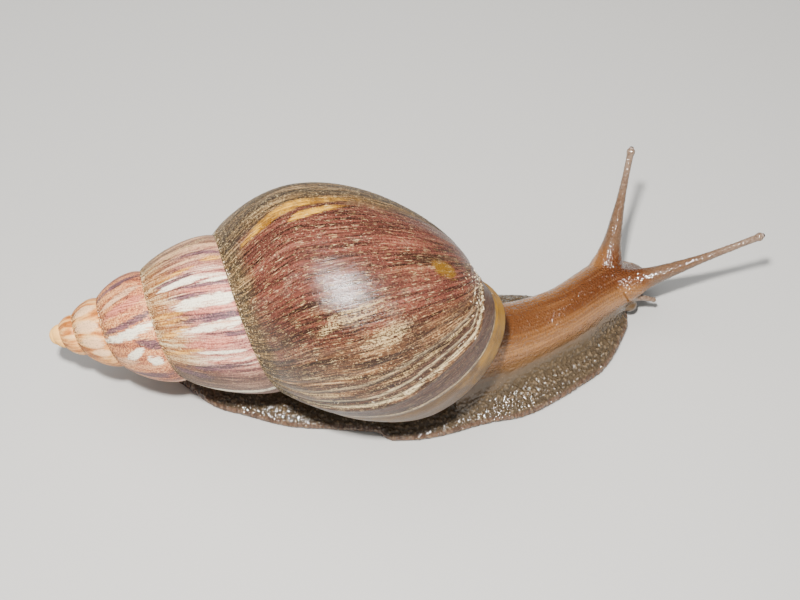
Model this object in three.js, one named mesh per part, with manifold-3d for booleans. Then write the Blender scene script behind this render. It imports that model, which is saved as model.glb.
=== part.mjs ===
// A giant African land snail crawling with its head turned to its left, at life size.
// Millimetres, +Z up. +X runs from the tip of the spire to the head, the sole lies on z = 0, and
// the animal's right side faces -Y. The shell coils to the right (dextral).

import * as THREE from "three";
import { mergeVertices } from "three/addons/utils/BufferGeometryUtils.js";
import Module from "manifold-3d";

const wasm = await Module();
wasm.setup();

const DEG = Math.PI / 180;
const GAP = 0.3;

// ---------------------------------------------------------------- driving dimensions: shell

const WHORLS = 7;                                     // turns from the nucleus to the lip
const STEPS = 28;                                     // growth steps in one turn
const SHOULDER_COLUMNS = 8;                           // facets from the suture to the periphery
const BASE_COLUMNS = 8;                               // facets from the periphery to the base
const APEX = new THREE.Vector3(-78.6, -1.3, 17.2);    // tip of the spire
const AXIS = new THREE.Vector3(0.982, 0.040, 0.182).normalize();

const LIP_ANGLE = 140 * DEG;                          // where the lip meets the suture, down from the top
const LIP_LEAN = -12 * DEG;                           // growth lines lean by this at the periphery
const BASE_LEAN = -18 * DEG;                          // and by this at the base
// The suture's axial place grows from turn to turn and leans, furthest forward at the crest's angle.
const SUTURE = { length: 51.8, growth: 0.246, slowing: 0.0088, phase: 128 * DEG, lean: 0.05, crest: 33 * DEG };
const SPIRE = { nucleus: 2.1, nucleusLength: 2, flare: 0.515, convexity: 0.0066 };
const POLE = 95.4;                                    // axial place of the base, where growth lines meet

// Section of the last whorl at its start, half a turn on, and at the lip: axial place and radius.
const PERIPHERY = [null, [59.5, 25.1], [78, 29.7]];
const BASE_SWELL = [[60, 18], [75, 25.1], [92, 30.5]];
const BASE_TUCK = [[62, 3], [91.5, 12], [112.5, 9]];
const SHOULDER_RISE = [[0.2, 0.6], [0.22, 0.56], [0.3, 0.49]];
const SHOULDER_ROUND = [[0.28, -0.2], [0.37, 0], [0.39, 0]];

const LIP_THICKNESS = 0.9;
const APERTURE_TURN = 11 * DEG;                       // how far round the mantle reaches into the shell
const APERTURE_NARROWING = 2.2;                       // inset at that depth

// ---------------------------------------------------------------- driving dimensions: flesh

const EDGE_THICKNESS = 1.1;                           // margin of the foot
// Foot from the tail to the front: x, y of the middle, half width, height of the back.
const FOOT = [
  [-54, 1, 0.8, 1.5],
  [-49, 0.9, 5.2, 3.0],
  [-40, 0.8, 11.3, 4.4],
  [-24, 0.9, 15.6, 5.4],
  [2, 1.8, 18.4, 6.4],
  [20, 5.2, 18.9, 6.8],
  [34, 8.8, 15.6, 6.0],
  [43, 13.6, 11.8, 4.4],
  [49.5, 19.6, 7.4, 3.0],
  [54.2, 24.2, 1.2, 1.5],
];
const FOOT_RINGS = 31;
const FOOT_FOLD = { x: -6, flare: 2.2, reach: 24 };   // the near margin folds out ahead of here
const RIPPLE = { depth: 0.3, waves: 7 };

// Neck and head from under the shell to the snout: x, y, top, half width, bottom.
const NECK = [
  [4, -4, 28, 8.5, 2],
  [11, -1.2, 26.5, 8.8, 2],
  [17.5, 1, 22.5, 8.4, 2],
  [23.5, 3.4, 19, 7.8, 2],
  [30, 6.5, 17, 7.0, 2],
  [38, 11.2, 15.8, 6.4, 1.8],
  [44.5, 16.6, 15.2, 6.2, 1.8],
  [50, 21.0, 15.0, 6.6, 1.8],
  [54, 24.2, 13.2, 6.2, 1.8],
  [56.6, 26.3, 10.6, 5.2, 2.0],
  [58.2, 27.6, 8.2, 3.4, 2.6],
  [58.7, 28.0, 6.4, 1.2, 3.8],
];
const NECK_RINGS = 26;
const NECK_SIDES = 18;

// Where the body that leaves the aperture stands on the foot.
const STALK = { x: 4, y: 2.5, halfLength: 20, halfWidth: 10, bottom: 2.5, leave: 8, land: 8 };
const STALK_RINGS = 8;

// Each tentacle runs from a base inside the head to a tip, bowed down by its sag.
const UPPER_TENTACLES = {
  right: { base: [53.2, 18.9, 10.2], tip: [83.0, 20.6, 26.4], sag: 0.9 },
  left: { base: [49.2, 23.2, 11.2], tip: [53.7, 39.4, 35.4], sag: -0.6 },
};
const UPPER_RADII = [4.4, 3.1, 2.2, 1.7, 1.35, 1.05, 0.85, 0.8, 1.0, 0.7];
const UPPER_CUTS = [0, 0.2, 0.46, 0.73, 1];           // root, base, middle and end lengths
const LOWER_TENTACLES = {
  right: { base: [54.0, 17.6, 7.4], tip: [61.3, 17.9, 5.7], sag: 0.2 },
  left: { base: [47.6, 25.4, 7.4], tip: [49.3, 32.7, 5.7], sag: 0.2 },
};
const LOWER_RADII = [1.9, 1.3, 0.85, 0.75, 0.8, 0.55];
const LOWER_CUTS = [0, 0.38, 1];
const TENTACLE_SIDES = 10;
const EYE = { radius: 0.6, bulge: 0.5 };
const MOUTH_LOBES = { right: [55.2, 17.3, 4.4], left: [47.5, 26.7, 4.4] };
const MOUTH_LOBE_RADII = [2.2, 1.7, 1.5];

// Where the body is parted into named lengths.
const COLLAR_THICKNESS = 2;                           // of the mantle, out from the rim of the shell
const HEAD_CUT = { at: [46.8, 18.2], heading: 39 * DEG, chin: 3.2 };
const BACK_CUT = 6;                                   // between the foot and what stands on it
const NECK_CUT = { at: [18, 1.5], heading: 20 * DEG };
const TAIL_CUT = -22;
const FRONT_CUT = 16;

// ---------------------------------------------------------------- finishes

const FINISHES = {
  shell: { color: 0x6b3f36, roughness: 0.55 },
  mantle: { color: 0x9a7a58, roughness: 0.4 },
  foot: { color: 0x5d4c3f, roughness: 0.4 },
  neck: { color: 0x9a5a30, roughness: 0.35 },
  tentacle: { color: 0x8a6a5c, roughness: 0.3 },
  eye: { color: 0x1c1512, roughness: 0.15 },
};

// ---------------------------------------------------------------- small helpers

const mix = (a, b, u) => a + (b - a) * u;

// Eases from 0 to 1 as u goes from 0 to 1.
function smooth(u) {
  const within = Math.min(1, Math.max(0, u));
  return within ** 2 * (3 - 2 * within);
}

function bezier(p0, p1, p2, p3, u) {
  const v = 1 - u;
  return p0.map((_, i) => v ** 3 * p0[i] + 3 * v * v * u * p1[i] + 3 * v * u * u * p2[i] + u ** 3 * p3[i]);
}

// The smooth value at x between three keys that stand at 0, 1 and 2.
function throughKeys(keys, x) {
  const weights = [((x - 1) * (x - 2)) / 2, x * (2 - x), (x * (x - 1)) / 2];
  return keys[0].map((_, i) => keys.reduce((sum, key, n) => sum + weights[n] * key[i], 0));
}

// One row of a table of stations, read smoothly at u from 0 to 1.
function station(table, u) {
  const columns = table[0].length;
  const values = [];
  for (let c = 0; c < columns; c += 2) {
    const points = table.map((row) => new THREE.Vector3(row[c], row[c + 1] ?? 0, 0));
    const point = new THREE.CatmullRomCurve3(points, false, "centripetal").getPoint(u);
    values.push(point.x, point.y);
  }
  return values.slice(0, columns);
}

function geometryOf(points, triangles) {
  const geometry = new THREE.BufferGeometry();
  const flat = new Float32Array(points.length * 3);
  points.forEach((p, i) => p.toArray(flat, i * 3));
  geometry.setAttribute("position", new THREE.BufferAttribute(flat, 3));
  geometry.setIndex(triangles.flat());
  return geometry;
}

// Turns a closed surface the right way out, by the sign of its volume.
function facingOut(points, triangles) {
  const volume = triangles.reduce((sum, [a, b, c]) => {
    return sum + points[a].dot(new THREE.Vector3().crossVectors(points[b], points[c]));
  }, 0);
  return volume > 0 ? triangles : triangles.map(([a, b, c]) => [a, c, b]);
}

// A closed skin over rings with the same number of points, with a fan on each end.
function loft(rings) {
  const sides = rings[0].length;
  const points = rings.flat();
  const triangles = [];
  for (let r = 0; r + 1 < rings.length; r += 1) {
    for (let s = 0; s < sides; s += 1) {
      const next = (s + 1) % sides;
      const [a, b] = [r * sides + s, r * sides + next];
      triangles.push([a, b, b + sides], [a, b + sides, a + sides]);
    }
  }
  for (const [first, turn] of [[0, 1], [(rings.length - 1) * sides, 0]]) {
    const hub = new THREE.Vector3();
    for (let s = 0; s < sides; s += 1) hub.addScaledVector(points[first + s], 1 / sides);
    const centre = points.push(hub) - 1;
    for (let s = 0; s < sides; s += 1) {
      const [a, b] = [first + s, first + ((s + 1) % sides)];
      triangles.push(turn ? [centre, b, a] : [centre, a, b]);
    }
  }
  return geometryOf(points, facingOut(points, triangles));
}

function solidOf(geometry) {
  const bare = geometry.clone();
  bare.deleteAttribute("normal");
  bare.deleteAttribute("uv");
  const merged = mergeVertices(bare, 1e-5);
  const vertProperties = new Float32Array(merged.attributes.position.array);
  const triVerts = new Uint32Array(merged.index.array);
  return new wasm.Manifold(new wasm.Mesh({ numProp: 3, vertProperties, triVerts }));
}

function geometryFrom(solid) {
  const mesh = solid.getMesh();
  const geometry = new THREE.BufferGeometry();
  geometry.setAttribute("position", new THREE.BufferAttribute(new Float32Array(mesh.vertProperties), 3));
  geometry.setIndex(new THREE.BufferAttribute(new Uint32Array(mesh.triVerts), 1));
  return geometry;
}

// ---------------------------------------------------------------- shell

const UP = new THREE.Vector3(0, 0, 1).addScaledVector(AXIS, -AXIS.z).normalize();
const NEAR = new THREE.Vector3().crossVectors(AXIS, UP);

// A place on the shell: along the axis, out from it, and turned from the top towards the near side.
function onShell(along, radius, angle) {
  return APEX.clone()
    .addScaledVector(AXIS, along)
    .addScaledVector(UP, radius * Math.cos(angle))
    .addScaledVector(NEAR, radius * Math.sin(angle));
}

const windAngle = (w) => LIP_ANGLE + 2 * Math.PI * (w - WHORLS);

function sutureLength(w) {
  const j = (windAngle(w) - SUTURE.phase) / Math.PI;
  const grown = SUTURE.length * Math.exp(SUTURE.growth * j - SUTURE.slowing * j * j);
  return grown * (1 + SUTURE.lean * Math.cos(windAngle(w) - SUTURE.crest));
}

// The suture's axial place and radius after w whorls.
function suture(w) {
  const along = Math.max(0, sutureLength(w) - sutureLength(0));
  const tip = Math.sqrt(1 - (1 - Math.min(1, along / SPIRE.nucleusLength)) ** 2);
  const past = Math.max(0, along - SPIRE.nucleusLength);
  return [along, SPIRE.nucleus * tip + SPIRE.flare * past * (1 - SPIRE.convexity * past)];
}

// Control points of the whorl's section, from the suture to the periphery and on to the base.
function section(w) {
  const start = suture(w);
  const x = 2 * (w - (WHORLS - 1));
  const last = x >= 0;
  const key = Math.max(0, x);
  const end = last ? throughKeys([suture(WHORLS), ...PERIPHERY.slice(1)], key) : suture(w + 1);
  const span = [end[0] - start[0], end[1] - start[1]];
  const rise = throughKeys(SHOULDER_RISE, key);
  const round = throughKeys(SHOULDER_ROUND, key);
  const shoulder = [
    start,
    [start[0] + rise[0] * span[0], start[1] + rise[1] * span[1]],
    [end[0] - round[0] * span[0], end[1] - round[1] * span[1]],
    end,
  ];
  const base = last ? [end, throughKeys(BASE_SWELL, key), throughKeys(BASE_TUCK, key), [POLE, 0]] : null;
  return { shoulder, base, lean: smooth(key / 0.6) };
}

function shoulderPoint(w, u) {
  const { shoulder, lean } = section(w);
  const [along, radius] = bezier(...shoulder, u);
  return onShell(along, radius, windAngle(w) + lean * LIP_LEAN * smooth(u));
}

function basePoint(w, u) {
  const { base, lean } = section(w);
  const [along, radius] = bezier(...base, u);
  return onShell(along, radius, windAngle(w) + lean * mix(LIP_LEAN, BASE_LEAN, u));
}

// The coiled wall as one closed surface. Each turn's outer edge is the next turn's suture, so the
// turns share points there. The aperture is closed some way in, where the mantle fills it.
function shellSurface() {
  const points = [];
  const add = (point) => points.push(point) - 1;
  const last = WHORLS * STEPS;
  const lastTurn = last - STEPS;
  const sutures = [];
  for (let i = 0; i <= last; i += 1) sutures.push(add(shoulderPoint(i / STEPS, 0)));
  const rows = [];
  for (let i = 0; i <= last; i += 1) {
    const row = [sutures[i]];
    for (let k = 1; k < SHOULDER_COLUMNS; k += 1) {
      row.push(add(shoulderPoint(i / STEPS, k / SHOULDER_COLUMNS)));
    }
    row.push(i <= lastTurn ? sutures[i + STEPS] : add(shoulderPoint(i / STEPS, 1)));
    rows.push(row);
  }
  const pole = add(onShell(POLE, 0, 0));
  for (let i = lastTurn; i <= last; i += 1) {
    for (let k = 1; k < BASE_COLUMNS; k += 1) rows[i].push(add(basePoint(i / STEPS, k / BASE_COLUMNS)));
    rows[i].push(pole);
  }
  const triangles = [];
  const patch = (a, b, c, d) => {
    if (a !== b && b !== c && a !== c) triangles.push([a, b, c]);
    if (a !== c && c !== d && a !== d) triangles.push([a, c, d]);
  };
  for (let i = 0; i < last; i += 1) {
    const [row, next] = [rows[i], rows[i + 1]];
    const columns = i < lastTurn ? SHOULDER_COLUMNS : SHOULDER_COLUMNS + BASE_COLUMNS;
    for (let k = 0; k < columns; k += 1) patch(row[k], row[k + 1], next[k + 1], next[k]);
  }
  for (let i = 1; i + 1 < STEPS; i += 1) triangles.push([sutures[0], sutures[i], sutures[i + 1]]);
  for (let k = 0; k < SHOULDER_COLUMNS; k += 1) {
    triangles.push([rows[0][k], sutures[STEPS - 1], rows[0][k + 1]]);
  }
  const parietal = rows[lastTurn].slice(SHOULDER_COLUMNS + 1, -1).reverse();
  const rim = [...rows[last], ...parietal];
  const edge = rim.map((i) => points[i]);
  let outer = rim;
  for (const ring of [inside(edge, LIP_THICKNESS, 0), inside(edge, APERTURE_NARROWING, APERTURE_TURN)]) {
    const inner = ring.map(add);
    inner.forEach((_, i) => {
      const n = (i + 1) % inner.length;
      triangles.push([outer[i], inner[n], inner[i]], [outer[i], outer[n], inner[n]]);
    });
    outer = inner;
  }
  const back = add(meanOf(outer.map((i) => points[i])));
  outer.forEach((a, i) => triangles.push([a, outer[(i + 1) % outer.length], back]));
  return { points, triangles: facingOut(points, triangles), rim: edge };
}

function meanOf(list) {
  return list.reduce((sum, p) => sum.addScaledVector(p, 1 / list.length), new THREE.Vector3());
}

// The way the shell grows at the lip: down and to the far side.
const GROWTH_ANGLE = LIP_ANGLE + LIP_LEAN;
const GROWTH = new THREE.Vector3()
  .addScaledVector(UP, -Math.sin(GROWTH_ANGLE))
  .addScaledVector(NEAR, Math.cos(GROWTH_ANGLE));

// A ring inside the rim: drawn in towards its middle, then wound back into the shell by a turn.
function inside(rim, inset, turn) {
  const middle = meanOf(rim);
  return rim.map((p) => {
    const inwards = middle.clone().sub(p).setLength(inset);
    return p.clone().add(inwards).sub(APEX).applyAxisAngle(AXIS, turn).add(APEX);
  });
}

// The shell grown by a clearance on every side, to keep the flesh clear of it.
function swollen({ points, triangles }, clearance) {
  const normals = points.map(() => new THREE.Vector3());
  for (const [a, b, c] of triangles) {
    const [p, q, r] = [points[a], points[b], points[c]];
    const normal = new THREE.Vector3().crossVectors(q.clone().sub(p), r.clone().sub(p));
    for (const i of [a, b, c]) normals[i].add(normal);
  }
  const moved = points.map((p, i) => p.clone().addScaledVector(normals[i].normalize(), clearance));
  return geometryOf(moved, triangles);
}

// ---------------------------------------------------------------- flesh

// A frame that stands across a path in plan: the point, and the level direction to its left.
function acrossPlan(table, u) {
  const here = station(table, u);
  const ahead = station(table, Math.min(1, u + 0.01));
  const behind = station(table, Math.max(0, u - 0.01));
  const heading = new THREE.Vector3(ahead[0] - behind[0], ahead[1] - behind[1], 0).normalize();
  return { values: here, left: new THREE.Vector3(-heading.y, heading.x, 0) };
}

function footRing(u) {
  const { values: [x, y, halfWidth, back], left } = acrossPlan(FOOT, u);
  const ripple = RIPPLE.depth * Math.sin(u * RIPPLE.waves * 2 * Math.PI) * Math.min(1, halfWidth / 8);
  const ahead = x - FOOT_FOLD.x;
  const fold = FOOT_FOLD.flare * smooth(ahead / 3) * (1 - smooth(ahead / FOOT_FOLD.reach));
  const nearWidth = halfWidth + ripple + fold;
  const farWidth = halfWidth - ripple;
  const point = (across, z) => new THREE.Vector3(x, y, z).addScaledVector(left, across);
  const width = (side) => (side < 0 ? nearWidth : farWidth);
  const ring = [];
  const sole = [-0.96, -0.5, 0, 0.5, 0.96];
  for (const side of sole) ring.push(point(side * width(side), 0));
  const over = [1, 0.97, 0.86, 0.7, 0.5, 0.25, 0, -0.25, -0.5, -0.7, -0.86, -0.97, -1];
  for (const side of over) {
    const dome = (1 - Math.abs(side) ** 1.7) ** 0.9;
    const edge = EDGE_THICKNESS * (Math.abs(side) === 1 ? 0.45 : 1);
    ring.push(point(side * width(side), edge + (back - EDGE_THICKNESS) * dome));
  }
  return ring;
}

function footGeometry() {
  const rings = [];
  for (let i = 0; i <= FOOT_RINGS; i += 1) rings.push(footRing(i / FOOT_RINGS));
  return loft(rings);
}

function neckRing(u) {
  const { values: [x, y, top, halfWidth, bottom], left } = acrossPlan(NECK, u);
  const ring = [];
  for (let s = 0; s < NECK_SIDES; s += 1) {
    const angle = (2 * Math.PI * s) / NECK_SIDES;
    const across = halfWidth * Math.cos(angle);
    const z = mix(bottom, top, 0.5 + 0.5 * Math.sin(angle));
    ring.push(new THREE.Vector3(x, y, z).addScaledVector(left, across));
  }
  return ring;
}

function neckGeometry() {
  const rings = [];
  for (let i = 0; i <= NECK_RINGS; i += 1) rings.push(neckRing(i / NECK_RINGS));
  return loft(rings);
}

// The body from the aperture down onto the foot: every point of the rim has a curved path down.
function stalkGeometry(rim) {
  const lipPoints = SHOULDER_COLUMNS + BASE_COLUMNS;
  const deep = inside(rim, APERTURE_NARROWING, APERTURE_TURN);
  const mouth = inside(rim, LIP_THICKNESS, 0);
  const rings = [deep];
  for (let r = 0; r <= STALK_RINGS; r += 1) {
    rings.push(mouth.map((p, i) => {
      const past = (i - lipPoints) / (rim.length - lipPoints);
      const turn = i <= lipPoints ? 180 + (180 * i) / lipPoints : 180 * past;
      const foot = [
        STALK.x + STALK.halfLength * Math.cos(turn * DEG),
        STALK.y + STALK.halfWidth * Math.sin(turn * DEG),
        STALK.bottom,
      ];
      const leave = p.clone().addScaledVector(GROWTH, STALK.leave);
      const land = [foot[0], foot[1], foot[2] + STALK.land];
      return new THREE.Vector3(...bezier(p.toArray(), leave.toArray(), land, foot, r / STALK_RINGS));
    }));
  }
  return loft(rings);
}

function tentaclePath({ base, tip, sag }) {
  const start = new THREE.Vector3(...base);
  const end = new THREE.Vector3(...tip);
  const middle = start.clone().lerp(end, 0.5).add(new THREE.Vector3(0, 0, -sag));
  return new THREE.QuadraticBezierCurve3(start, middle, end);
}

// One length of a tentacle: rings square to its path from fraction `from` to fraction `to`.
function tentacleLength(tentacle, radii, from, to, rings) {
  const path = tentaclePath(tentacle);
  const table = radii.map((radius) => [radius, 0]);
  const list = [];
  for (let i = 0; i <= rings; i += 1) {
    const u = mix(from, to, i / rings);
    const centre = path.getPoint(u);
    const ahead = path.getTangent(u);
    const side = new THREE.Vector3(0, 0, 1).cross(ahead).normalize();
    const up = ahead.clone().cross(side);
    const radius = station(table, u)[0];
    const ring = [];
    for (let s = 0; s < TENTACLE_SIDES; s += 1) {
      const angle = (2 * Math.PI * s) / TENTACLE_SIDES;
      ring.push(centre.clone()
        .addScaledVector(side, radius * Math.cos(angle))
        .addScaledVector(up, radius * Math.sin(angle)));
    }
    list.push(ring);
  }
  return loft(list);
}

// The dome of an eye on the end of an upper tentacle.
function eyeGeometry(tentacle) {
  const path = tentaclePath(tentacle);
  const profile = [new THREE.Vector2(0, 0)];
  const steps = 5;
  for (let i = 0; i < steps; i += 1) {
    const angle = (Math.PI / 2) * (i / steps);
    profile.push(new THREE.Vector2(EYE.radius * Math.cos(angle), EYE.bulge * Math.sin(angle)));
  }
  profile.push(new THREE.Vector2(0, EYE.bulge));
  const dome = new THREE.LatheGeometry(profile, TENTACLE_SIDES);
  const ahead = path.getTangent(1);
  dome.applyQuaternion(new THREE.Quaternion().setFromUnitVectors(new THREE.Vector3(0, 1, 0), ahead));
  const place = path.getPoint(1).addScaledVector(ahead, GAP);
  return dome.translate(place.x, place.y, place.z);
}

function lobeGeometry(centre) {
  const lobe = new THREE.SphereGeometry(1, TENTACLE_SIDES, 6);
  lobe.scale(...MOUTH_LOBE_RADII);
  lobe.rotateZ(HEAD_CUT.heading);
  return lobe.translate(...centre);
}

// ---------------------------------------------------------------- parting the flesh

const REACH = 200;                                    // longer than the whole animal

// Everything ahead of a level-headed cut and above a height, as a block to cut with.
function blockAhead({ at, heading, chin }, clearance) {
  const block = new THREE.BoxGeometry(REACH, REACH, REACH);
  block.translate(REACH / 2 - clearance, 0, REACH / 2 + chin - clearance);
  block.rotateZ(heading);
  return solidOf(block.translate(at[0], at[1], 0));
}

// The two sides of a plane, with a gap between them: behind its normal, and ahead of it.
function partAt(solid, normal, offset) {
  const away = normal.map((v) => -v);
  return [solid.trimByPlane(away, -offset), solid.trimByPlane(normal, offset + GAP)];
}

function biggest(solid) {
  return solid.decompose().reduce((best, piece) => (piece.volume() > best.volume() ? piece : best));
}

function partFlesh(flesh, rim) {
  const growth = GROWTH.toArray();
  const [collar, below] = partAt(flesh, growth, GROWTH.dot(meanOf(rim)) + COLLAR_THICKNESS);
  const head = below.intersect(blockAhead(HEAD_CUT, 0));
  const body = below.subtract(blockAhead(HEAD_CUT, GAP));
  const [foot, back] = partAt(body, [0, 0, 1], BACK_CUT);
  const { at, heading } = NECK_CUT;
  const ahead = [Math.cos(heading), Math.sin(heading), 0];
  const [trunk, neck] = partAt(back, ahead, ahead[0] * at[0] + ahead[1] * at[1]);
  const [tail, fore] = partAt(foot, [1, 0, 0], TAIL_CUT);
  const [middle, front] = partAt(fore, [1, 0, 0], FRONT_CUT);
  return {
    mantle_collar: [collar, "mantle"],
    trunk: [trunk, "foot"],
    neck: [neck, "neck"],
    head: [head, "neck"],
    foot_tail: [tail, "foot"],
    foot_middle: [middle, "foot"],
    foot_front: [front, "foot"],
  };
}

// ---------------------------------------------------------------- assembly

const model = new THREE.Group();

function put(name, geometry, finish) {
  const material = new THREE.MeshStandardMaterial({ metalness: 0, ...FINISHES[finish] });
  const mesh = new THREE.Mesh(geometry, material);
  mesh.name = name;
  model.add(mesh);
}

const shell = shellSurface();
put("shell", geometryOf(shell.points, shell.triangles), "shell");

let flesh = solidOf(footGeometry()).add(solidOf(neckGeometry())).add(solidOf(stalkGeometry(shell.rim)));
for (const side of ["right", "left"]) {
  const upper = UPPER_TENTACLES[side];
  const lower = LOWER_TENTACLES[side];
  flesh = flesh
    .add(solidOf(tentacleLength(upper, UPPER_RADII, UPPER_CUTS[0], UPPER_CUTS[1], 4)))
    .add(solidOf(tentacleLength(lower, LOWER_RADII, LOWER_CUTS[0], LOWER_CUTS[1], 3)))
    .add(solidOf(lobeGeometry(MOUTH_LOBES[side])));
}
for (const clearance of [GAP, GAP / 2, 0]) flesh = flesh.subtract(solidOf(swollen(shell, clearance)));

for (const [name, [solid, finish]] of Object.entries(partFlesh(flesh, shell.rim))) {
  put(name, geometryFrom(biggest(solid)), finish);
}

const UPPER_LENGTHS = ["base", "middle", "tip"];
for (const side of ["right", "left"]) {
  const upper = UPPER_TENTACLES[side];
  const lower = LOWER_TENTACLES[side];
  const upperGap = GAP / tentaclePath(upper).getLength();
  const lowerGap = GAP / tentaclePath(lower).getLength();
  UPPER_LENGTHS.forEach((length, i) => {
    const [from, to] = [UPPER_CUTS[i + 1] + upperGap, UPPER_CUTS[i + 2]];
    put(`upper_tentacle_${side}_${length}`, tentacleLength(upper, UPPER_RADII, from, to, 6), "tentacle");
  });
  put(`eye_${side}`, eyeGeometry(upper), "eye");
  const [from, to] = [LOWER_CUTS[1] + lowerGap, LOWER_CUTS[2]];
  put(`lower_tentacle_${side}`, tentacleLength(lower, LOWER_RADII, from, to, 5), "tentacle");
}

export default model;
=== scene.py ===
"""A giant African land snail at life size: the coiled shell, one skin over the whole body, and the eyes."""

import logging
import math
from dataclasses import dataclass
from enum import Enum
from functools import reduce
from typing import Callable, Optional, Sequence, Union

import bmesh
import bpy
import numpy as np
from bmesh.types import BMesh
from mathutils import Matrix, Vector


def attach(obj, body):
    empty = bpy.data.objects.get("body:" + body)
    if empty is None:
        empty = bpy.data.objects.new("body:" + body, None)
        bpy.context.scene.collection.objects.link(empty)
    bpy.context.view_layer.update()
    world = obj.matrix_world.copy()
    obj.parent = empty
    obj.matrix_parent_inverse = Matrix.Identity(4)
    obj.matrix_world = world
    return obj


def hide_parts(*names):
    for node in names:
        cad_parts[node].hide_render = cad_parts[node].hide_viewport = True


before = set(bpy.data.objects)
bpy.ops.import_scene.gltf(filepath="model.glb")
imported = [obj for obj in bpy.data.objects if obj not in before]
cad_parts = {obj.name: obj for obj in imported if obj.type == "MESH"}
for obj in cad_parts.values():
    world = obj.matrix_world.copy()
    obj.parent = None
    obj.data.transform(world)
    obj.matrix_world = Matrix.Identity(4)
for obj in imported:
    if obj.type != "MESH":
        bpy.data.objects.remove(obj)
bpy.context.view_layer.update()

LOG = logging.getLogger("snail")
MM = 0.001
BODY = "root"

Number = Union[int, float]
Value = Union["Socket", Number]
Array = np.ndarray


# ---------------------------------------------------------------- numbers and curves


def eased(u: Array) -> Array:
    """Eases from 0 to 1 as u goes from 0 to 1."""
    within = np.clip(u, 0.0, 1.0)
    return within * within * (3.0 - 2.0 * within)


def mixed(a: Array, b: Array, share: Array) -> Array:
    """The value that lies a share of the way from a to b."""
    return a + (b - a) * share


def unit(vectors: Array) -> Array:
    """The vectors at length 1."""
    length = np.linalg.norm(vectors, axis=-1, keepdims=True)
    return vectors / np.maximum(length, 1e-12)


def bell(x: Array, centre: float, width: float) -> Array:
    """A smooth hump of height 1 at centre, which falls to nothing over about twice its width."""
    return np.exp(-(((x - centre) / width) ** 2))


def bezier(points: Sequence[Array], u: Array) -> Array:
    """The cubic curve on four control points, each with one row for each value of u."""
    v = 1.0 - u
    weights = (v**3, 3 * v * v * u, 3 * v * u * u, u**3)
    return sum(weight[..., None] * point for weight, point in zip(weights, points))


def through_keys(keys: Sequence[Array], x: Array) -> Array:
    """The smooth value at x between three keys that stand at 0, 1 and 2."""
    weights = ((x - 1) * (x - 2) / 2, x * (2 - x), x * (x - 1) / 2)
    return sum(weight[..., None] * np.asarray(key, float) for weight, key in zip(weights, keys))


def along_stations(stations: Array, t: Array) -> Array:
    """Reads a smooth curve through stations, whose spacing follows the distance between them.

    Args:
        stations: One row for each station, two columns.
        t: Where to read, from 0 at the first station to 1 at the last.

    Returns:
        Two columns, one row for each value of t.
    """
    points = np.asarray(stations, float)
    spans = len(points) - 1
    at = np.clip(t, 0.0, 1.0) * spans
    i = np.minimum(at.astype(int), spans - 1)
    w = (at - i)[:, None]
    padded = np.vstack([2 * points[0] - points[1], points, 2 * points[-1] - points[-2]])
    p0, p1, p2, p3 = (padded[i + k] for k in range(4))

    def spacing(a: Array, b: Array) -> Array:
        """The square root of the distance between two points."""
        return np.sum((a - b) ** 2, axis=-1, keepdims=True) ** 0.25

    d1 = spacing(p1, p2)
    d1 = np.where(d1 < 1e-4, 1.0, d1)
    d0 = spacing(p0, p1)
    d0 = np.where(d0 < 1e-4, d1, d0)
    d2 = spacing(p2, p3)
    d2 = np.where(d2 < 1e-4, d1, d2)
    leave = ((p1 - p0) / d0 - (p2 - p0) / (d0 + d1) + (p2 - p1) / d1) * d1
    arrive = ((p2 - p1) / d1 - (p3 - p1) / (d1 + d2) + (p3 - p2) / d2) * d1
    square = -3 * p1 + 3 * p2 - 2 * leave - arrive
    cube = 2 * p1 - 2 * p2 + leave + arrive
    return p1 + leave * w + square * w**2 + cube * w**3


def turned(points: Array, axis: Array, angle: float) -> Array:
    """The points turned about an axis through the origin."""
    along = (points @ axis)[:, None] * axis
    across = points - along
    return along + across * math.cos(angle) + np.cross(axis, across) * math.sin(angle)


class Grain:
    """Seeded smooth noise and cells for relief that is modelled in the mesh."""

    def __init__(self, seed: int) -> None:
        """Shuffles a table of 256 places and one of random values."""
        chance = np.random.default_rng(seed)
        self.order = chance.permutation(256)
        self.value = chance.random(256)
        self.jitter = chance.random((256, 3))

    def cell(self, lattice: Array) -> Array:
        """The table place of each lattice point, a row of three whole numbers."""
        place = np.zeros(lattice.shape[:-1], int)
        for column in range(lattice.shape[-1]):
            place = self.order[(place + lattice[..., column]) & 255]
        return place

    def noise(self, points: Array) -> Array:
        """Smooth values from 0 to 1 over points given in lattice steps."""
        floor = np.floor(points).astype(int)
        share = eased(points - floor)
        total = np.zeros(points.shape[:-1])
        for corner in range(2 ** points.shape[-1]):
            step = np.array([(corner >> bit) & 1 for bit in range(points.shape[-1])])
            weight = np.prod(np.where(step, share, 1.0 - share), axis=-1)
            total += weight * self.value[self.cell(floor + step)]
        return total

    def layered(self, points: Array, layers: int) -> Array:
        """Noise from 0 to 1 with each layer twice as fine and half as strong as the last."""
        total = np.zeros(points.shape[:-1])
        reach = 0.0
        for layer in range(layers):
            strength = 0.5**layer
            total += strength * self.noise(points * 2.0**layer + 17.3 * layer)
            reach += strength
        return total / reach

    def warts(self, points: Array) -> Array:
        """Rounded cells from 0 in the grooves to 1 on top, over points given in cell steps."""
        floor = np.floor(points).astype(int)
        nearest = np.full(points.shape[:-1], 9.0)
        second = np.full(points.shape[:-1], 9.0)
        for step in np.ndindex(3, 3, 3):
            corner = floor + np.array(step) - 1
            gap = np.linalg.norm(corner + self.jitter[self.cell(corner)] - points, axis=-1)
            second = np.minimum(second, np.maximum(nearest, gap))
            nearest = np.minimum(nearest, gap)
        return eased((second - nearest) / 0.45)


# ---------------------------------------------------------------- nodes of a finish


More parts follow.
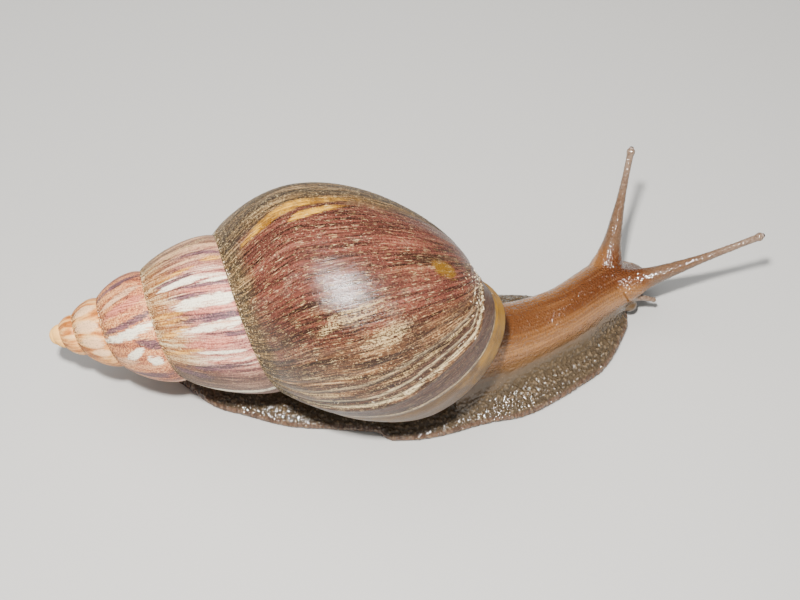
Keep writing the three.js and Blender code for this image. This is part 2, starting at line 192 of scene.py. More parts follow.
class Socket:
    """A value in a finish's nodes, with arithmetic that adds Math nodes."""

    def __init__(self, paint: "Paint", link: bpy.types.NodeSocket) -> None:
        """Keeps the output socket and the finish that it belongs to."""
        self.paint = paint
        self.link = link

    def _math(self, operation: str, *values: Value) -> "Socket":
        """Adds a Math node over the values."""
        inputs = dict(enumerate(values))
        return self.paint.node("ShaderNodeMath", {"operation": operation}, inputs)[0]

    def __add__(self, other: Value) -> "Socket":
        """This plus other."""
        return self._math("ADD", self, other)

    def __radd__(self, other: Number) -> "Socket":
        """other plus this."""
        return self._math("ADD", other, self)

    def __sub__(self, other: Value) -> "Socket":
        """This less other."""
        return self._math("SUBTRACT", self, other)

    def __rsub__(self, other: Number) -> "Socket":
        """other less this."""
        return self._math("SUBTRACT", other, self)

    def __mul__(self, other: Value) -> "Socket":
        """This times other."""
        return self._math("MULTIPLY", self, other)

    def __rmul__(self, other: Number) -> "Socket":
        """other times this."""
        return self._math("MULTIPLY", other, self)

    def __truediv__(self, other: Number) -> "Socket":
        """This over a number."""
        return self * (1 / other)

    def least(self, other: Value) -> "Socket":
        """The lesser of the two."""
        return self._math("MINIMUM", self, other)

    def most(self, other: Value) -> "Socket":
        """The greater of the two."""
        return self._math("MAXIMUM", self, other)

    def size(self) -> "Socket":
        """The value without its sign."""
        return self._math("ABSOLUTE", self)

    def step(self, low: float, high: float) -> "Socket":
        """Eases from 0 where the value is low to 1 where it is high. low may be the greater."""
        ends = {"From Min": min(low, high), "From Max": max(low, high)}
        ends.update({"To Min": float(low > high), "To Max": float(low <= high), "Value": self})
        return self.paint.node("ShaderNodeMapRange", {"interpolation_type": "SMOOTHSTEP"}, ends)[0]

    def ease(self) -> "Socket":
        """Eases from 0 to 1 as the value goes from 0 to 1."""
        return self.step(0.0, 1.0)

    def strayed(self, noise: "Socket", width: float) -> "Socket":
        """The value moved to and fro by a noise, over a width."""
        return self + (noise - 0.5) * width

    def line(self, centre: Number, width: float) -> "Socket":
        """1 on a line where the value is centre, falling to 0 at width from it."""
        return (self - centre).size().step(width, 0.3 * width)


Colour = tuple[float, float, float]
Tint = Union[Colour, Socket]


class Paint:
    """One material and the short ways of adding its nodes."""

    def __init__(self, name: str) -> None:
        """Starts a material with only its surface shader and its output."""
        self.material = bpy.data.materials.new(name)
        self.material.use_nodes = True
        self.tree = self.material.node_tree
        self.tree.nodes.clear()
        self.shader = self.tree.nodes.new("ShaderNodeBsdfPrincipled")
        output = self.tree.nodes.new("ShaderNodeOutputMaterial")
        self.tree.links.new(self.shader.outputs[0], output.inputs[0])

    def plug(self, socket: bpy.types.NodeSocket, value: object) -> None:
        """Links a value to a socket, or sets the socket to it."""
        if isinstance(value, Socket):
            self.tree.links.new(value.link, socket)
        elif socket.type == "RGBA":
            socket.default_value = (*value, 1.0)
        else:
            socket.default_value = value

    def node(self, kind: str, settings: dict, inputs: dict) -> list[Socket]:
        """Adds a node.

        Args:
            kind: The node's type.
            settings: Its properties, set first. "stops" gives a ramp's places and colours.
            inputs: Its sockets' values or links, by name or number.

        Returns:
            The node's outputs.
        """
        made = self.tree.nodes.new(kind)
        for key, value in settings.items():
            if key == "stops":
                self._stops(made.color_ramp, value)
            else:
                setattr(made, key, value)
        for key, value in inputs.items():
            self.plug(made.inputs[key], value)
        return [Socket(self, output) for output in made.outputs]

    def _stops(self, ramp: bpy.types.ColorRamp, stops: Sequence[tuple[float, Colour]]) -> None:
        """Sets a ramp's stops."""
        for place, colour in stops[2:]:
            ramp.elements.new(place)
        for element, (place, colour) in zip(ramp.elements, stops):
            element.position = place
            element.color = (*colour, 1.0)

    def spot(self) -> Socket:
        """The point in the piece's own space, in millimetres."""
        metres = self.node("ShaderNodeTexCoord", {}, {})[3]
        return self.stretched(metres, (1 / MM,) * 3)

    def parts(self, vector: Socket) -> list[Socket]:
        """A vector's three values."""
        return self.node("ShaderNodeSeparateXYZ", {}, {0: vector})

    def chart(self, name: str) -> list[Socket]:
        """The two values of a UV map."""
        return self.parts(self.node("ShaderNodeUVMap", {"uv_map": name}, {})[0])[:2]

    def vector_field(self, name: str) -> Socket:
        """A vertex attribute that holds vectors."""
        return self.node("ShaderNodeAttribute", {"attribute_name": name}, {})[1]

    def value_field(self, name: str) -> Socket:
        """A vertex attribute that holds single values."""
        return self.node("ShaderNodeAttribute", {"attribute_name": name}, {})[2]

    def vector(self, x: Socket, y: Socket, z: Socket) -> Socket:
        """Three values as one vector."""
        return self.node("ShaderNodeCombineXYZ", {}, {0: x, 1: y, 2: z})[0]

    def stretched(self, vector: Socket, scale: Sequence[float]) -> Socket:
        """A vector times a scale for each axis."""
        return self.node("ShaderNodeVectorMath", {"operation": "MULTIPLY"}, {0: vector, 1: tuple(scale)})[0]

    def noise(self, vector: Socket, scale: float, detail: float = 3.0, roughness: float = 0.55) -> Socket:
        """Smooth noise, mostly from 0.3 to 0.7."""
        inputs = {"Vector": vector, "Scale": scale, "Detail": detail, "Roughness": roughness}
        return self.node("ShaderNodeTexNoise", {}, inputs)[0]

    def streaks(self, run: Socket, round_whorl: float, across_whorl: float, **grain: float) -> Socket:
        """Noise drawn out along the growth lines, with its steps to a millimetre in the two directions."""
        return self.noise(self.stretched(run, (round_whorl, across_whorl, 0.0)), 1.0, **grain)

    def beads(self, vector: Socket, scale: float, top: float) -> Socket:
        """Rounded beads, from 0 in the grooves to 1 on top."""
        settings = {"feature": "SMOOTH_F1"}
        away = self.node("ShaderNodeTexVoronoi", settings, {"Vector": vector, "Scale": scale})[0]
        return away.step(0.66, top)

    def mix(self, share: Value, a: Tint, b: Tint) -> Socket:
        """Colour b over colour a by a share."""
        return self.node("ShaderNodeMix", {"data_type": "RGBA"}, {0: share, 6: a, 7: b})[2]

    def ramp(self, value: Socket, stops: Sequence[tuple[float, Colour]]) -> Socket:
        """Colours that follow a value."""
        return self.node("ShaderNodeValToRGB", {"stops": stops}, {0: value})[0]

    def relief(self, height: Socket, depth: float) -> Socket:
        """A bumped normal, for a height from 0 to 1 over a depth in millimetres."""
        inputs = {"Height": height, "Distance": depth * MM, "Strength": 1.0}
        return self.node("ShaderNodeBump", {}, inputs)[0]

    def finish(self, **inputs: object) -> bpy.types.Material:
        """Sets the surface shader's inputs, named with _ for spaces.

        Args:
            **inputs: Values or links by socket name.

        Returns:
            The material.
        """
        for key, value in inputs.items():
            self.plug(self.shader.inputs[key.replace("_", " ")], value)
        return self.material


# ---------------------------------------------------------------- meshes


def sheet(columns: int, rows: int) -> tuple[BMesh, Array, Array]:
    """A flat grid to be laid on a surface.

    Args:
        columns: Faces in the first direction.
        rows: Faces in the second direction.

    Returns:
        The grid, and each vertex's column and row.
    """
    grid = bmesh.new()
    bmesh.ops.create_grid(grid, x_segments=columns, y_segments=rows, size=0.5)
    flat = np.array([vert.co[:2] for vert in grid.verts]) + 0.5
    column = np.rint(flat[:, 0] * columns).astype(int)
    row = np.rint(flat[:, 1] * rows).astype(int)
    return grid, column, row


def laid(grid: BMesh, points: Array) -> None:
    """Moves each vertex to its point, in millimetres."""
    for vert, point in zip(grid.verts, points * MM):
        vert.co = point


def object_from(name: str, mesh: BMesh) -> bpy.types.Object:
    """Makes a mesh into a smooth-shaded object in the scene."""
    data = bpy.data.meshes.new(name)
    mesh.to_mesh(data)
    mesh.free()
    data.polygons.foreach_set("use_smooth", np.ones(len(data.polygons), bool))
    made = bpy.data.objects.new(name, data)
    bpy.context.scene.collection.objects.link(made)
    return made


def joined(meshes: Sequence[BMesh]) -> BMesh:
    """Puts several meshes into one."""
    whole = bmesh.new()
    for part in meshes:
        data = bpy.data.meshes.new("part")
        part.to_mesh(data)
        part.free()
        whole.from_mesh(data)
        bpy.data.meshes.remove(data)
    return whole


def tube(rings: Array) -> BMesh:
    """A closed skin over rings of points.

    Args:
        rings: Ring, point and coordinate, in millimetres. A ring's last point isn't its first.

    Returns:
        The closed mesh, with its faces pointing out.
    """
    count, sides = rings.shape[:2]
    grid, column, row = sheet(count - 1, sides)
    laid(grid, rings[column, row % sides])
    bmesh.ops.remove_doubles(grid, verts=grid.verts, dist=1e-7)
    bmesh.ops.holes_fill(grid, edges=[edge for edge in grid.edges if edge.is_boundary], sides=0)
    bmesh.ops.recalc_face_normals(grid, faces=grid.faces)
    return grid


def points_of(data: bpy.types.Mesh) -> Array:
    """A mesh's vertices in millimetres."""
    flat = np.empty(len(data.vertices) * 3, np.float32)
    data.vertices.foreach_get("co", flat)
    return flat.reshape(-1, 3).astype(float) / MM


def set_points(data: bpy.types.Mesh, points: Array) -> None:
    """Moves a mesh's vertices to points in millimetres."""
    data.vertices.foreach_set("co", (points * MM).astype(np.float32).ravel())
    data.update()


def normals_of(data: bpy.types.Mesh) -> Array:
    """A mesh's vertex normals."""
    flat = np.empty(len(data.vertices) * 3, np.float32)
    data.vertices.foreach_get("normal", flat)
    return flat.reshape(-1, 3).astype(float)


def relaxed(data: bpy.types.Mesh, points: Array, strength: Array, rounds: int) -> Array:
    """Points drawn towards the middle of their neighbours.

    Args:
        data: The mesh, whose edges say which points are neighbours.
        points: Its vertices' places.
        strength: How far each vertex goes in each round, from 0 to 1.
        rounds: How many times.

    Returns:
        The new places.
    """
    edges = np.empty(len(data.edges) * 2, np.int32)
    data.edges.foreach_get("vertices", edges)
    ends = edges.reshape(-1, 2)
    start = np.concatenate([ends[:, 0], ends[:, 1]])
    other = np.concatenate([ends[:, 1], ends[:, 0]])
    degree = np.maximum(np.bincount(start, minlength=len(points)), 1)
    for _ in range(rounds):
        middle = np.stack([np.bincount(start, points[other, axis], len(points)) for axis in range(3)], -1)
        points = points + strength[:, None] * (middle / degree[:, None] - points)
    return points


def set_field(data: bpy.types.Mesh, name: str, values: Array) -> None:
    """Writes a value or a vector for each vertex as an attribute."""
    kind = "FLOAT" if values.ndim == 1 else "FLOAT_VECTOR"
    field = data.attributes.new(name, kind, "POINT")
    field.data.foreach_set("value" if values.ndim == 1 else "vector", values.astype(np.float32).ravel())


def dressed(
    piece: bpy.types.Object, finish: bpy.types.Material, nodes: Sequence[str] = (),
) -> None:
    """Gives a piece its finish and says what it stands for and rides on.

    Args:
        piece: The finished object.
        finish: Its material.
        nodes: The solids that it stands for.
    """
    piece.data.materials.clear()
    piece.data.materials.append(finish)
    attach(piece, BODY)
    if nodes:
        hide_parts(*nodes)
    faces = sum(len(polygon.vertices) - 2 for polygon in piece.data.polygons)
    LOG.info("%s: %d triangles, finish %s", piece.name, faces, finish.name)


# ---------------------------------------------------------------- shell: shape


@dataclass(frozen=True)
class GrowthLaw:
    """How the shell winds, in millimetres, radians and turns of the whorl.

    A place on it has a turn, from 0 at the nucleus to 7 at the lip, and a place across the whorl: 0 on
    the suture above it, 1 on the next suture or the periphery, 2 where the base closes on the axis.
    """

    turns: int = 7
    apex: tuple[float, float, float] = (-78.6, -1.3, 17.2)
    axis: tuple[float, float, float] = (0.982, 0.040, 0.182)
    lip_angle: float = math.radians(140.0)
    lip_lean: float = math.radians(-12.0)
    base_lean: float = math.radians(-18.0)
    length: float = 51.8
    growth: float = 0.246
    slowing: float = 0.0088
    phase: float = math.radians(128.0)
    lean: float = 0.05
    crest: float = math.radians(33.0)
    nucleus: float = 2.1
    nucleus_length: float = 2.0
    flare: float = 0.515
    convexity: float = 0.0066
    pole: float = 95.4
    periphery: tuple = ((59.5, 25.1), (78.0, 29.7))
    base_swell: tuple = ((60.0, 18.0), (75.0, 25.1), (92.0, 30.5))
    base_tuck: tuple = ((62.0, 3.0), (91.5, 12.0), (112.5, 9.0))
    shoulder_rise: tuple = ((0.2, 0.6), (0.22, 0.56), (0.3, 0.49))
    shoulder_round: tuple = ((0.28, -0.2), (0.37, 0.0), (0.39, 0.0))

    def frame(self) -> tuple[Array, Array, Array]:
        """The axis, the way up that is square to it, and the way to the near side."""
        along = unit(np.array(self.axis))
        up = unit(np.array((0.0, 0.0, 1.0)) - along[2] * along)
        return along, up, np.cross(along, up)

    def angle(self, turn: Array) -> Array:
        """The angle round the axis after some turns, from the top towards the near side."""
        return self.lip_angle + 2 * math.pi * (turn - self.turns)

    def suture_place(self, turn: Array) -> Array:
        """The suture's place along the axis, from a point just behind the apex."""
        j = (self.angle(turn) - self.phase) / math.pi
        grown = self.length * np.exp(self.growth * j - self.slowing * j * j)
        return grown * (1 + self.lean * np.cos(self.angle(turn) - self.crest))

    def profile(self, along: Array) -> Array:
        """The radius of the spire at a place along the axis."""
        tip = np.sqrt(1 - (1 - np.minimum(1, along / self.nucleus_length)) ** 2)
        past = np.maximum(0, along - self.nucleus_length)
        return self.nucleus * tip + self.flare * past * (1 - self.convexity * past)

    def suture(self, turn: Array) -> Array:
        """The suture's place along the axis and its radius."""
        along = np.maximum(0, self.suture_place(turn) - self.suture_place(np.zeros_like(turn)))
        return np.stack([along, self.profile(along)], -1)

    def on_shell(self, flat: Array, angle: Array) -> Array:
        """The point at a place along the axis, a radius and an angle."""
        axis, up, near = self.frame()
        out = np.cos(angle)[..., None] * up + np.sin(angle)[..., None] * near
        return np.array(self.apex) + flat[..., :1] * axis + flat[..., 1:] * out

    def place(self, turn: Array, across: Array) -> Array:
        """Points of the smooth shell.

        Args:
            turn: Turns from the nucleus.
            across: Places across the whorl, from 0 to 2.

        Returns:
            One row for each pair, in millimetres.
        """
        start = self.suture(turn)
        last = turn >= self.turns - 1
        x = np.maximum(0.0, 2 * (turn - (self.turns - 1)))
        closing = self.suture(np.full_like(turn, float(self.turns)))
        weights = ((x - 1) * (x - 2) / 2, x * (2 - x), x * (x - 1) / 2)
        rim = weights[0][..., None] * closing
        rim = rim + sum(w[..., None] * np.array(p) for w, p in zip(weights[1:], self.periphery))
        end = np.where(last[..., None], rim, self.suture(np.minimum(turn + 1, self.turns)))
        span = end - start
        rise = start + through_keys(self.shoulder_rise, x) * span
        rounding = end - through_keys(self.shoulder_round, x) * span
        upper = np.clip(across, 0, 1)
        shoulder = bezier((start, rise, rounding, end), upper)
        dome_at = mixed(start[..., 0], end[..., 0], upper)
        dome = np.stack([dome_at, self.profile(dome_at)], -1)
        shoulder = mixed(dome, shoulder, eased(turn / 1.5)[..., None])
        lower = np.clip(across - 1, 0, 1)
        pole = np.zeros_like(start) + np.array((self.pole, 0.0))
        base = bezier((end, through_keys(self.base_swell, x), through_keys(self.base_tuck, x), pole), lower)
        below = across > 1
        flat = np.where(below[..., None], base, shoulder)
        leaning = np.where(below, mixed(self.lip_lean, self.base_lean, lower), self.lip_lean * eased(upper))
        return self.on_shell(flat, self.angle(turn) + eased(x / 0.6) * leaning)

    def outward(self, turn: Array, across: Array) -> Array:
        """The smooth shell's normals."""
        hair = 1e-4
        early, late = np.maximum(turn - hair, 0), np.minimum(turn + hair, self.turns)
        above, below = np.maximum(across - hair, 0), np.minimum(across + hair, 2)
        around = self.place(late, across) - self.place(early, across)
        down = self.place(turn, below) - self.place(turn, above)
        return unit(np.cross(down, around))

    def inside(self, rim: Array, inset: float, turn: float) -> Array:
        """A ring drawn in from the rim towards its middle, then wound back into the shell."""
        middle = rim.mean(axis=0)
        drawn = rim + unit(middle - rim) * inset
        return turned(drawn - np.array(self.apex), self.frame()[0], turn) + np.array(self.apex)

    def growing(self) -> Array:
        """The way the shell grows at the lip."""
        _, up, near = self.frame()
        angle = self.lip_angle + self.lip_lean
        return near * math.cos(angle) - up * math.sin(angle)

    def travel(self, turn: Array) -> Array:
        """The distance grown round the spiral, measured on the whorl's shoulder."""
        turns = np.linspace(0, self.turns, 2801)
        points = self.place(turns, np.full_like(turns, 0.6))
        steps = np.linalg.norm(np.diff(points, axis=0), axis=1)
        return np.interp(turn, turns, np.concatenate([[0.0], np.cumsum(steps)]))

    def reach(self, turn: Array, across: Array) -> Array:
        """The distance across the whorl from the suture above it."""
        low = np.zeros_like(turn)
        total = np.zeros_like(turn)
        last = self.place(turn, low)
        for part in np.linspace(0, 1, 25)[1:]:
            here = self.place(turn, across * part)
            total += np.linalg.norm(here - last, axis=-1)
            last = here
        return total


@dataclass(frozen=True)
class GrowthLine:
    """A line across the last whorl, where it begins at the suture and how it bends back below.

    Each bend has the place across the whorl where it starts, its width there and how far back it goes.
    """

    turn: float
    bends: tuple[tuple[float, float, float], ...]

    def at(self, across: Union[Array, Socket], ease: Callable) -> Union[Array, Socket]:
        """The turn at which the line was laid down.

        Args:
            across: Places across the whorl.
            ease: Eases from 0 to 1 as its argument goes from 0 to 1.

        Returns:
            One turn for each place.
        """
        turn = self.turn
        for start, width, back in self.bends:
            turn = turn - ease((across - start) / width) * back
        return turn


REST_LINE = GrowthLine(6.908, ((0.9, 0.6, 0.022), (1.5, 0.42, 0.1)))
LIP_LINE = GrowthLine(6.938, ((1.45, 0.5, 0.035),))


@dataclass
class Shell:
    """The coiled shell, modelled from its growth law, with the relief that growth left on it."""

    law: GrowthLaw
    steps: int = 420
    shoulder_columns: int = 22
    base_columns: int = 34
    lip_thickness: float = 0.9
    lip_rounding: float = 0.35
    aperture_inset: float = 2.2
    aperture_turn: float = math.radians(11.0)
    ridge: float = 0.055
    swell: float = 0.16
    bead: float = 0.16
    sand: float = 0.10
    lip_round: float = 26.0
    rest_height: float = 0.42
    rest_groove: float = 0.25
    old_rests: tuple = ((-5.0, 0.25), (-8.5, 0.3), (-14.0, 0.2))
    lip_height: float = 0.18
    lip_groove: float = 0.12

    def growth_relief(self, turn: Array, across: Array, points: Array) -> Array:
        """The growth lines, the broad swells, the sand and the beads below the suture."""
        travel, reach = self.law.travel(turn), self.law.reach(turn, across)
        lines, slow, sand = Grain(3), Grain(5), Grain(7)
        bend = 1.6 * slow.noise(points / 9.0)
        fine = lines.layered(np.stack([(travel + bend) / 1.5, across * 0.8], -1), 2) - 0.5
        broad = slow.layered(np.stack([(travel + bend) / 6.0, across * 0.9], -1), 2) - 0.5
        size = eased((turn - 1.0) / 4.0)
        height = size * (2 * self.ridge * fine + 2 * self.swell * broad)
        grains = sand.layered(points / 1.1, 2) - 0.5
        height += self.sand * grains * (0.35 + 0.65 * bell(reach, 0.0, 5.0)) * size
        beads = 0.5 + 0.5 * np.sin(2 * math.pi * (travel + bend) / mixed(0.9, 1.5, size))
        crown = bell(reach, 0.75, 0.6) * eased((turn - 1.5) / 1.5)
        return height + crown * self.bead * (0.5 + 0.5 * size) * (beads - 0.1)

    def rest_relief(self, turn: Array, across: Array) -> Array:
        """The ridges where growth rested, and the thick lip with the groove behind its edge."""
        per_turn = 2 * math.pi * self.lip_round
        after = (turn - REST_LINE.at(across, eased)) * per_turn
        height = self.rest_height * (bell(after, 0.0, 0.55) + 0.7 * bell(after, -1.6, 0.5))
        height -= self.rest_groove * bell(after, 1.2, 0.9)
        for back, strength in self.old_rests:
            height += strength * bell(after, back, 0.6)
        lip = (turn - LIP_LINE.at(across, eased)) * per_turn
        return height + self.lip_height * eased(lip) - self.lip_groove * bell(lip, 3.5, 1.5)

    def relief(self, turn: Array, across: Array, points: Array) -> Array:
        """How far the surface stands out from the smooth shell, in millimetres, with none at the seams."""
        height = self.growth_relief(turn, across, points) + self.rest_relief(turn, across)
        shared = 1 - eased((turn - (self.law.turns - 1)) / 0.05)
        from_seam = np.where(across > 1, eased((across - 1) / 0.05), eased((1 - across) / 0.05))
        held = eased(across / 0.05) * eased((2 - across) / 0.06) * mixed(1.0, from_seam, shared)
        return height * held

    def surface(self, turn: Array, across: Array) -> Array:
        """Points of the finished surface."""
        smooth = self.law.place(turn, across)
        out = self.law.outward(turn, across)
        return smooth + out * self.relief(turn, across, smooth)[:, None]

    def charted(self, grid: BMesh, turn: Array, across: Array) -> None:
        """Gives a grid the two charts that its finish reads, before its seams are merged."""
        growth = grid.loops.layers.uv.new("Growth")
        travel = grid.loops.layers.uv.new("Travel")
        gone = self.law.travel(np.minimum(turn, self.law.turns))
        reach = self.law.reach(np.minimum(turn, self.law.turns), np.minimum(across, 2))
        for face in grid.faces:
            for loop in face.loops:
                i = loop.vert.index
                loop[growth].uv = (turn[i], across[i])
                loop[travel].uv = (gone[i], reach[i])

    def strip(self, first: float, last: float, top: float, bottom: float, columns: int) -> BMesh:
        """One sheet of the wall, between two turns and two places across the whorl."""
        steps = round((last - first) * self.steps)
        grid, column, row = sheet(steps, columns)
        turn = first + (last - first) * column / steps
        across = top + (bottom - top) * row / columns
        grid.verts.index_update()
        self.charted(grid, turn, across)
        laid(grid, self.surface(turn, across))
        return grid

    def crown(self) -> BMesh:
        """The dome inside the first turn."""
        law = self.law
        grid, column, row = sheet(self.steps, self.shoulder_columns)
        turn = column / self.steps
        share = row / self.shoulder_columns
        along = law.suture(turn)[:, 0] * share
        grid.verts.index_update()
        self.charted(grid, turn * 0, share * 0)
        laid(grid, law.on_shell(np.stack([along, law.profile(along)], -1), law.angle(turn)))
        return grid

    def rim(self) -> tuple[Array, Array]:
        """The edge of the aperture, round the lip and back over the parietal wall."""
        lip = np.concatenate([
            np.arange(self.shoulder_columns) / self.shoulder_columns,
            1 + np.arange(self.base_columns) / self.base_columns,
        ])
        wall = 2 - np.arange(self.base_columns) / self.base_columns
        turn = np.concatenate([np.full(len(lip), 7.0), np.full(len(wall), 6.0)])
        across = np.concatenate([lip, wall])
        return self.surface(turn, across), across

    def mouth(self) -> BMesh:
        """The thickness of the lip, and the wall inside it as far as the mantle."""
        edge, across = self.rim()
        law = self.law
        depths = (0.0, 0.25, 0.5, 0.75, 1.0)
        rings = []
        for depth in depths:
            rounding = self.lip_rounding * math.sin(math.pi * depth)
            rings.append(law.inside(edge, self.lip_thickness * depth, 0.0) + law.growing() * rounding)
        for depth in (0.25, 0.5, 0.75, 1.0):
            inset = mixed(self.lip_thickness, self.aperture_inset, depth)
            rings.append(law.inside(edge, inset, self.aperture_turn * depth))
        stack = np.array(rings)
        count = len(edge)
        grid, column, row = sheet(len(rings) - 1, count)
        grid.verts.index_update()
        self.charted(grid, 7.0 + column * 0.1, across[row % count])
        laid(grid, stack[column, row % count])
        return grid

    def mesh(self) -> BMesh:
        """The whole shell as one closed mesh."""
        whole = joined([
            self.crown(),
            self.strip(0, 7, 0, 1, self.shoulder_columns),
            self.strip(6, 7, 1, 2, self.base_columns),
            self.mouth(),
        ])
        bmesh.ops.remove_doubles(whole, verts=whole.verts, dist=2e-6)
        edges = [edge for edge in whole.edges if edge.is_boundary]
        bmesh.ops.holes_fill(whole, edges=edges, sides=0)
        bmesh.ops.recalc_face_normals(whole, faces=whole.faces)
        return whole

    def build(self, finish: bpy.types.Material) -> bpy.types.Object:
        """Makes the shell and dresses it."""
        made = object_from("snail_shell", self.mesh())
        dressed(made, finish, ["shell"])
        return made


# ---------------------------------------------------------------- shell: finish


@dataclass(frozen=True)
class Mark:
    """A tapered patch of colour along the growth lines: its place on the shell, half sizes and slope."""

    turn: float
    across: float
    half_turn: float
    half_across: float
    slope: float = 0.0

    def share(self, turn: Socket, across: Socket, wobble: Socket) -> Socket:
        """How strongly it is laid down, from 0 outside it to 1."""
        off = (turn - self.turn - (across - self.across) * self.slope) / self.half_turn
        side = (across - self.across) / self.half_across
        return (off * off + side * side + wobble).step(1.25, 0.45)


class ShellGrain:
    """The places on the shell, and the noises that its colours are made from."""

    def __init__(self, paint: Paint) -> None:
        """Adds the charts, the noises drawn out along the growth lines, and those without a direction."""
        self.paint = paint
        self.turn, self.across = paint.chart("Growth")
        travel, self.reach = paint.chart("Travel")
        spot = paint.spot()
        bend = (paint.noise(spot, 0.09, 2.0) - 0.5) * 1.3
        self.run = paint.vector(travel + bend, self.reach, self.across)
        self.fine = paint.streaks(self.run, 2.9, 0.085, detail=4.0, roughness=0.7)
        self.shred = paint.streaks(self.run, 2.4, 0.34, roughness=0.65)
        self.streak = paint.streaks(self.run, 0.50, 0.035, detail=4.0, roughness=0.6)
        self.stripe = paint.streaks(self.run, 0.50, 0.045, detail=4.0, roughness=0.62)
        self.zone = paint.streaks(self.run, 0.060, 0.024, detail=2.0)
        self.bars = paint.streaks(self.run, 0.75, 0.16, detail=2.0)
        self.scratch = paint.streaks(self.run, 5.0, 0.42, detail=2.0, roughness=0.6)
        self.crumbs = paint.streaks(self.run, 3.9, 1.3, roughness=0.75)
        self.grit = paint.noise(spot, 2.6, 3.0, 0.75)
        self.patch = paint.noise(spot, 0.24, 4.0, 0.65)
        self.wobble = (self.shred - 0.5) * 3.6 + (self.fine - 0.5) * 1.4 + (self.patch - 0.5) * 2.0
        self.fleck = self.fine * 0.35 + self.stripe * 0.45 + self.grit * 0.20

    def blended(self, **weights: float) -> Socket:
        """A weighted sum of the noises, in the order given."""
        return reduce(Socket.__add__, (getattr(self, name) * weight for name, weight in weights.items()))


@dataclass(frozen=True)
class MarkSet:
    """Marks of one kind, mottled from a dark colour to a pale one, or of the pale one alone.

    strength is how far they hide what lies under them, and fray how ragged their edges are.
    """

    pale: Colour
    strength: float
    marks: tuple[tuple[float, ...], ...]
    dark: Optional[Colour] = None
    fray: float = 1.0

    def share(self, on: ShellGrain) -> Socket:
        """Where the marks lie, from 0 outside them to 1."""
        wobble = on.wobble * self.fray
        return reduce(Socket.most, (Mark(*row).share(on.turn, on.across, wobble) for row in self.marks))

    def over(self, under: Socket, on: ShellGrain, mottle: Optional[Socket] = None) -> Socket:
        """The marks laid over a colour, pale where a mottle is 1."""
        tint = self.pale if mottle is None else on.paint.mix(mottle, self.dark, self.pale)
        return on.paint.mix(self.share(on) * self.strength, under, tint)


WHITE_FLAMES = MarkSet(
    dark=(0.80, 0.46, 0.30),
    pale=(0.98, 0.90, 0.70),
    strength=0.96,
    fray=0.9,
    marks=(
        (4.749, 0.50, 0.0155, 0.60, -0.050), (4.806, 0.54, 0.014, 0.18, -0.110),
        (4.826, 0.82, 0.016, 0.12), (5.652, 0.48, 0.0080, 0.28, -0.012),
        (5.659, 0.86, 0.0040, 0.20, -0.008), (5.697, 0.72, 0.0120, 0.40, -0.008),
        (5.744, 0.74, 0.0085, 0.42, -0.014), (5.795, 0.68, 0.0040, 0.26),
        (5.130, 0.60, 0.014, 0.46, -0.030), (5.240, 0.52, 0.010, 0.42, -0.020),
        (5.405, 0.64, 0.015, 0.44, -0.020), (5.920, 0.62, 0.010, 0.40, -0.016),
        (4.100, 0.55, 0.022, 0.42, -0.040), (4.260, 0.60, 0.018, 0.40, -0.030),
        (4.430, 0.50, 0.020, 0.46, -0.040),
    ),
)
PLUM_STREAKS = MarkSet(
    dark=(0.040, 0.020, 0.026),
    pale=(0.20, 0.085, 0.105),
    strength=0.94,
    marks=(
        (5.642, 0.42, 0.0070, 0.24, -0.020), (5.666, 0.80, 0.0050, 0.34, 0.012),
        (5.682, 0.54, 0.0045, 0.22, 0.010), (5.729, 0.74, 0.0075, 0.38),
        (5.762, 0.90, 0.0040, 0.22), (5.829, 0.60, 0.0080, 0.34, -0.020),
        (5.590, 0.80, 0.0060, 0.36, 0.020), (5.855, 0.28, 0.0120, 0.20, 0.030),
        (4.717, 0.58, 0.0110, 0.56, -0.050), (4.776, 0.84, 0.0150, 0.22, 0.050),
        (4.575, 0.50, 0.0120, 0.60, -0.030), (4.890, 0.60, 0.0160, 0.50, -0.030),
        (5.070, 0.55, 0.0140, 0.50, -0.030), (5.180, 0.60, 0.0090, 0.46, -0.020),
        (5.310, 0.58, 0.0110, 0.50, -0.020), (5.480, 0.60, 0.0090, 0.48, -0.020),
        (5.965, 0.58, 0.0090, 0.46, -0.010), (4.180, 0.55, 0.0120, 0.46, -0.040),
        (4.340, 0.55, 0.0110, 0.48, -0.040),
    ),
)
ROSE_STREAKS = MarkSet(
    dark=(0.30, 0.070, 0.050),
    pale=(0.78, 0.26, 0.17),
    strength=0.8,
    marks=(
        (5.776, 0.62, 0.0100, 0.28, -0.020), (5.672, 0.78, 0.0070, 0.30, 0.012),
        (5.812, 0.74, 0.0060, 0.26, -0.020), (5.712, 0.78, 0.0070, 0.30, -0.010),
        (4.667, 0.56, 0.0160, 0.44, -0.050),
    ),
)
AMBER_PATCHES = MarkSet(
    dark=(0.36, 0.130, 0.016),
    pale=(0.86, 0.46, 0.10),
    strength=0.9,
    marks=(
        (5.713, 0.26, 0.0080, 0.20, -0.020), (5.727, 0.30, 0.0060, 0.20, -0.010),
        (5.627, 0.48, 0.0050, 0.22, -0.030), (5.796, 0.28, 0.0060, 0.28, -0.040),
        (5.752, 0.28, 0.0080, 0.24, -0.060), (5.610, 0.88, 0.0060, 0.14),
        (5.360, 0.30, 0.0080, 0.24, -0.030), (5.010, 0.26, 0.0120, 0.24, -0.030),
    ),
)
TAN_STREAKS = MarkSet(
    dark=(0.42, 0.20, 0.10),
    pale=(0.90, 0.56, 0.32),
    strength=0.85,
    marks=(
        (5.563, 0.62, 0.0120, 0.44, 0.015), (5.604, 0.55, 0.0050, 0.36, -0.010),
        (4.630, 0.55, 0.0110, 0.46, -0.050), (4.840, 0.30, 0.0140, 0.24, -0.030),
        (5.280, 0.60, 0.0090, 0.40, -0.020), (5.525, 0.60, 0.0070, 0.40, -0.020),
    ),
)
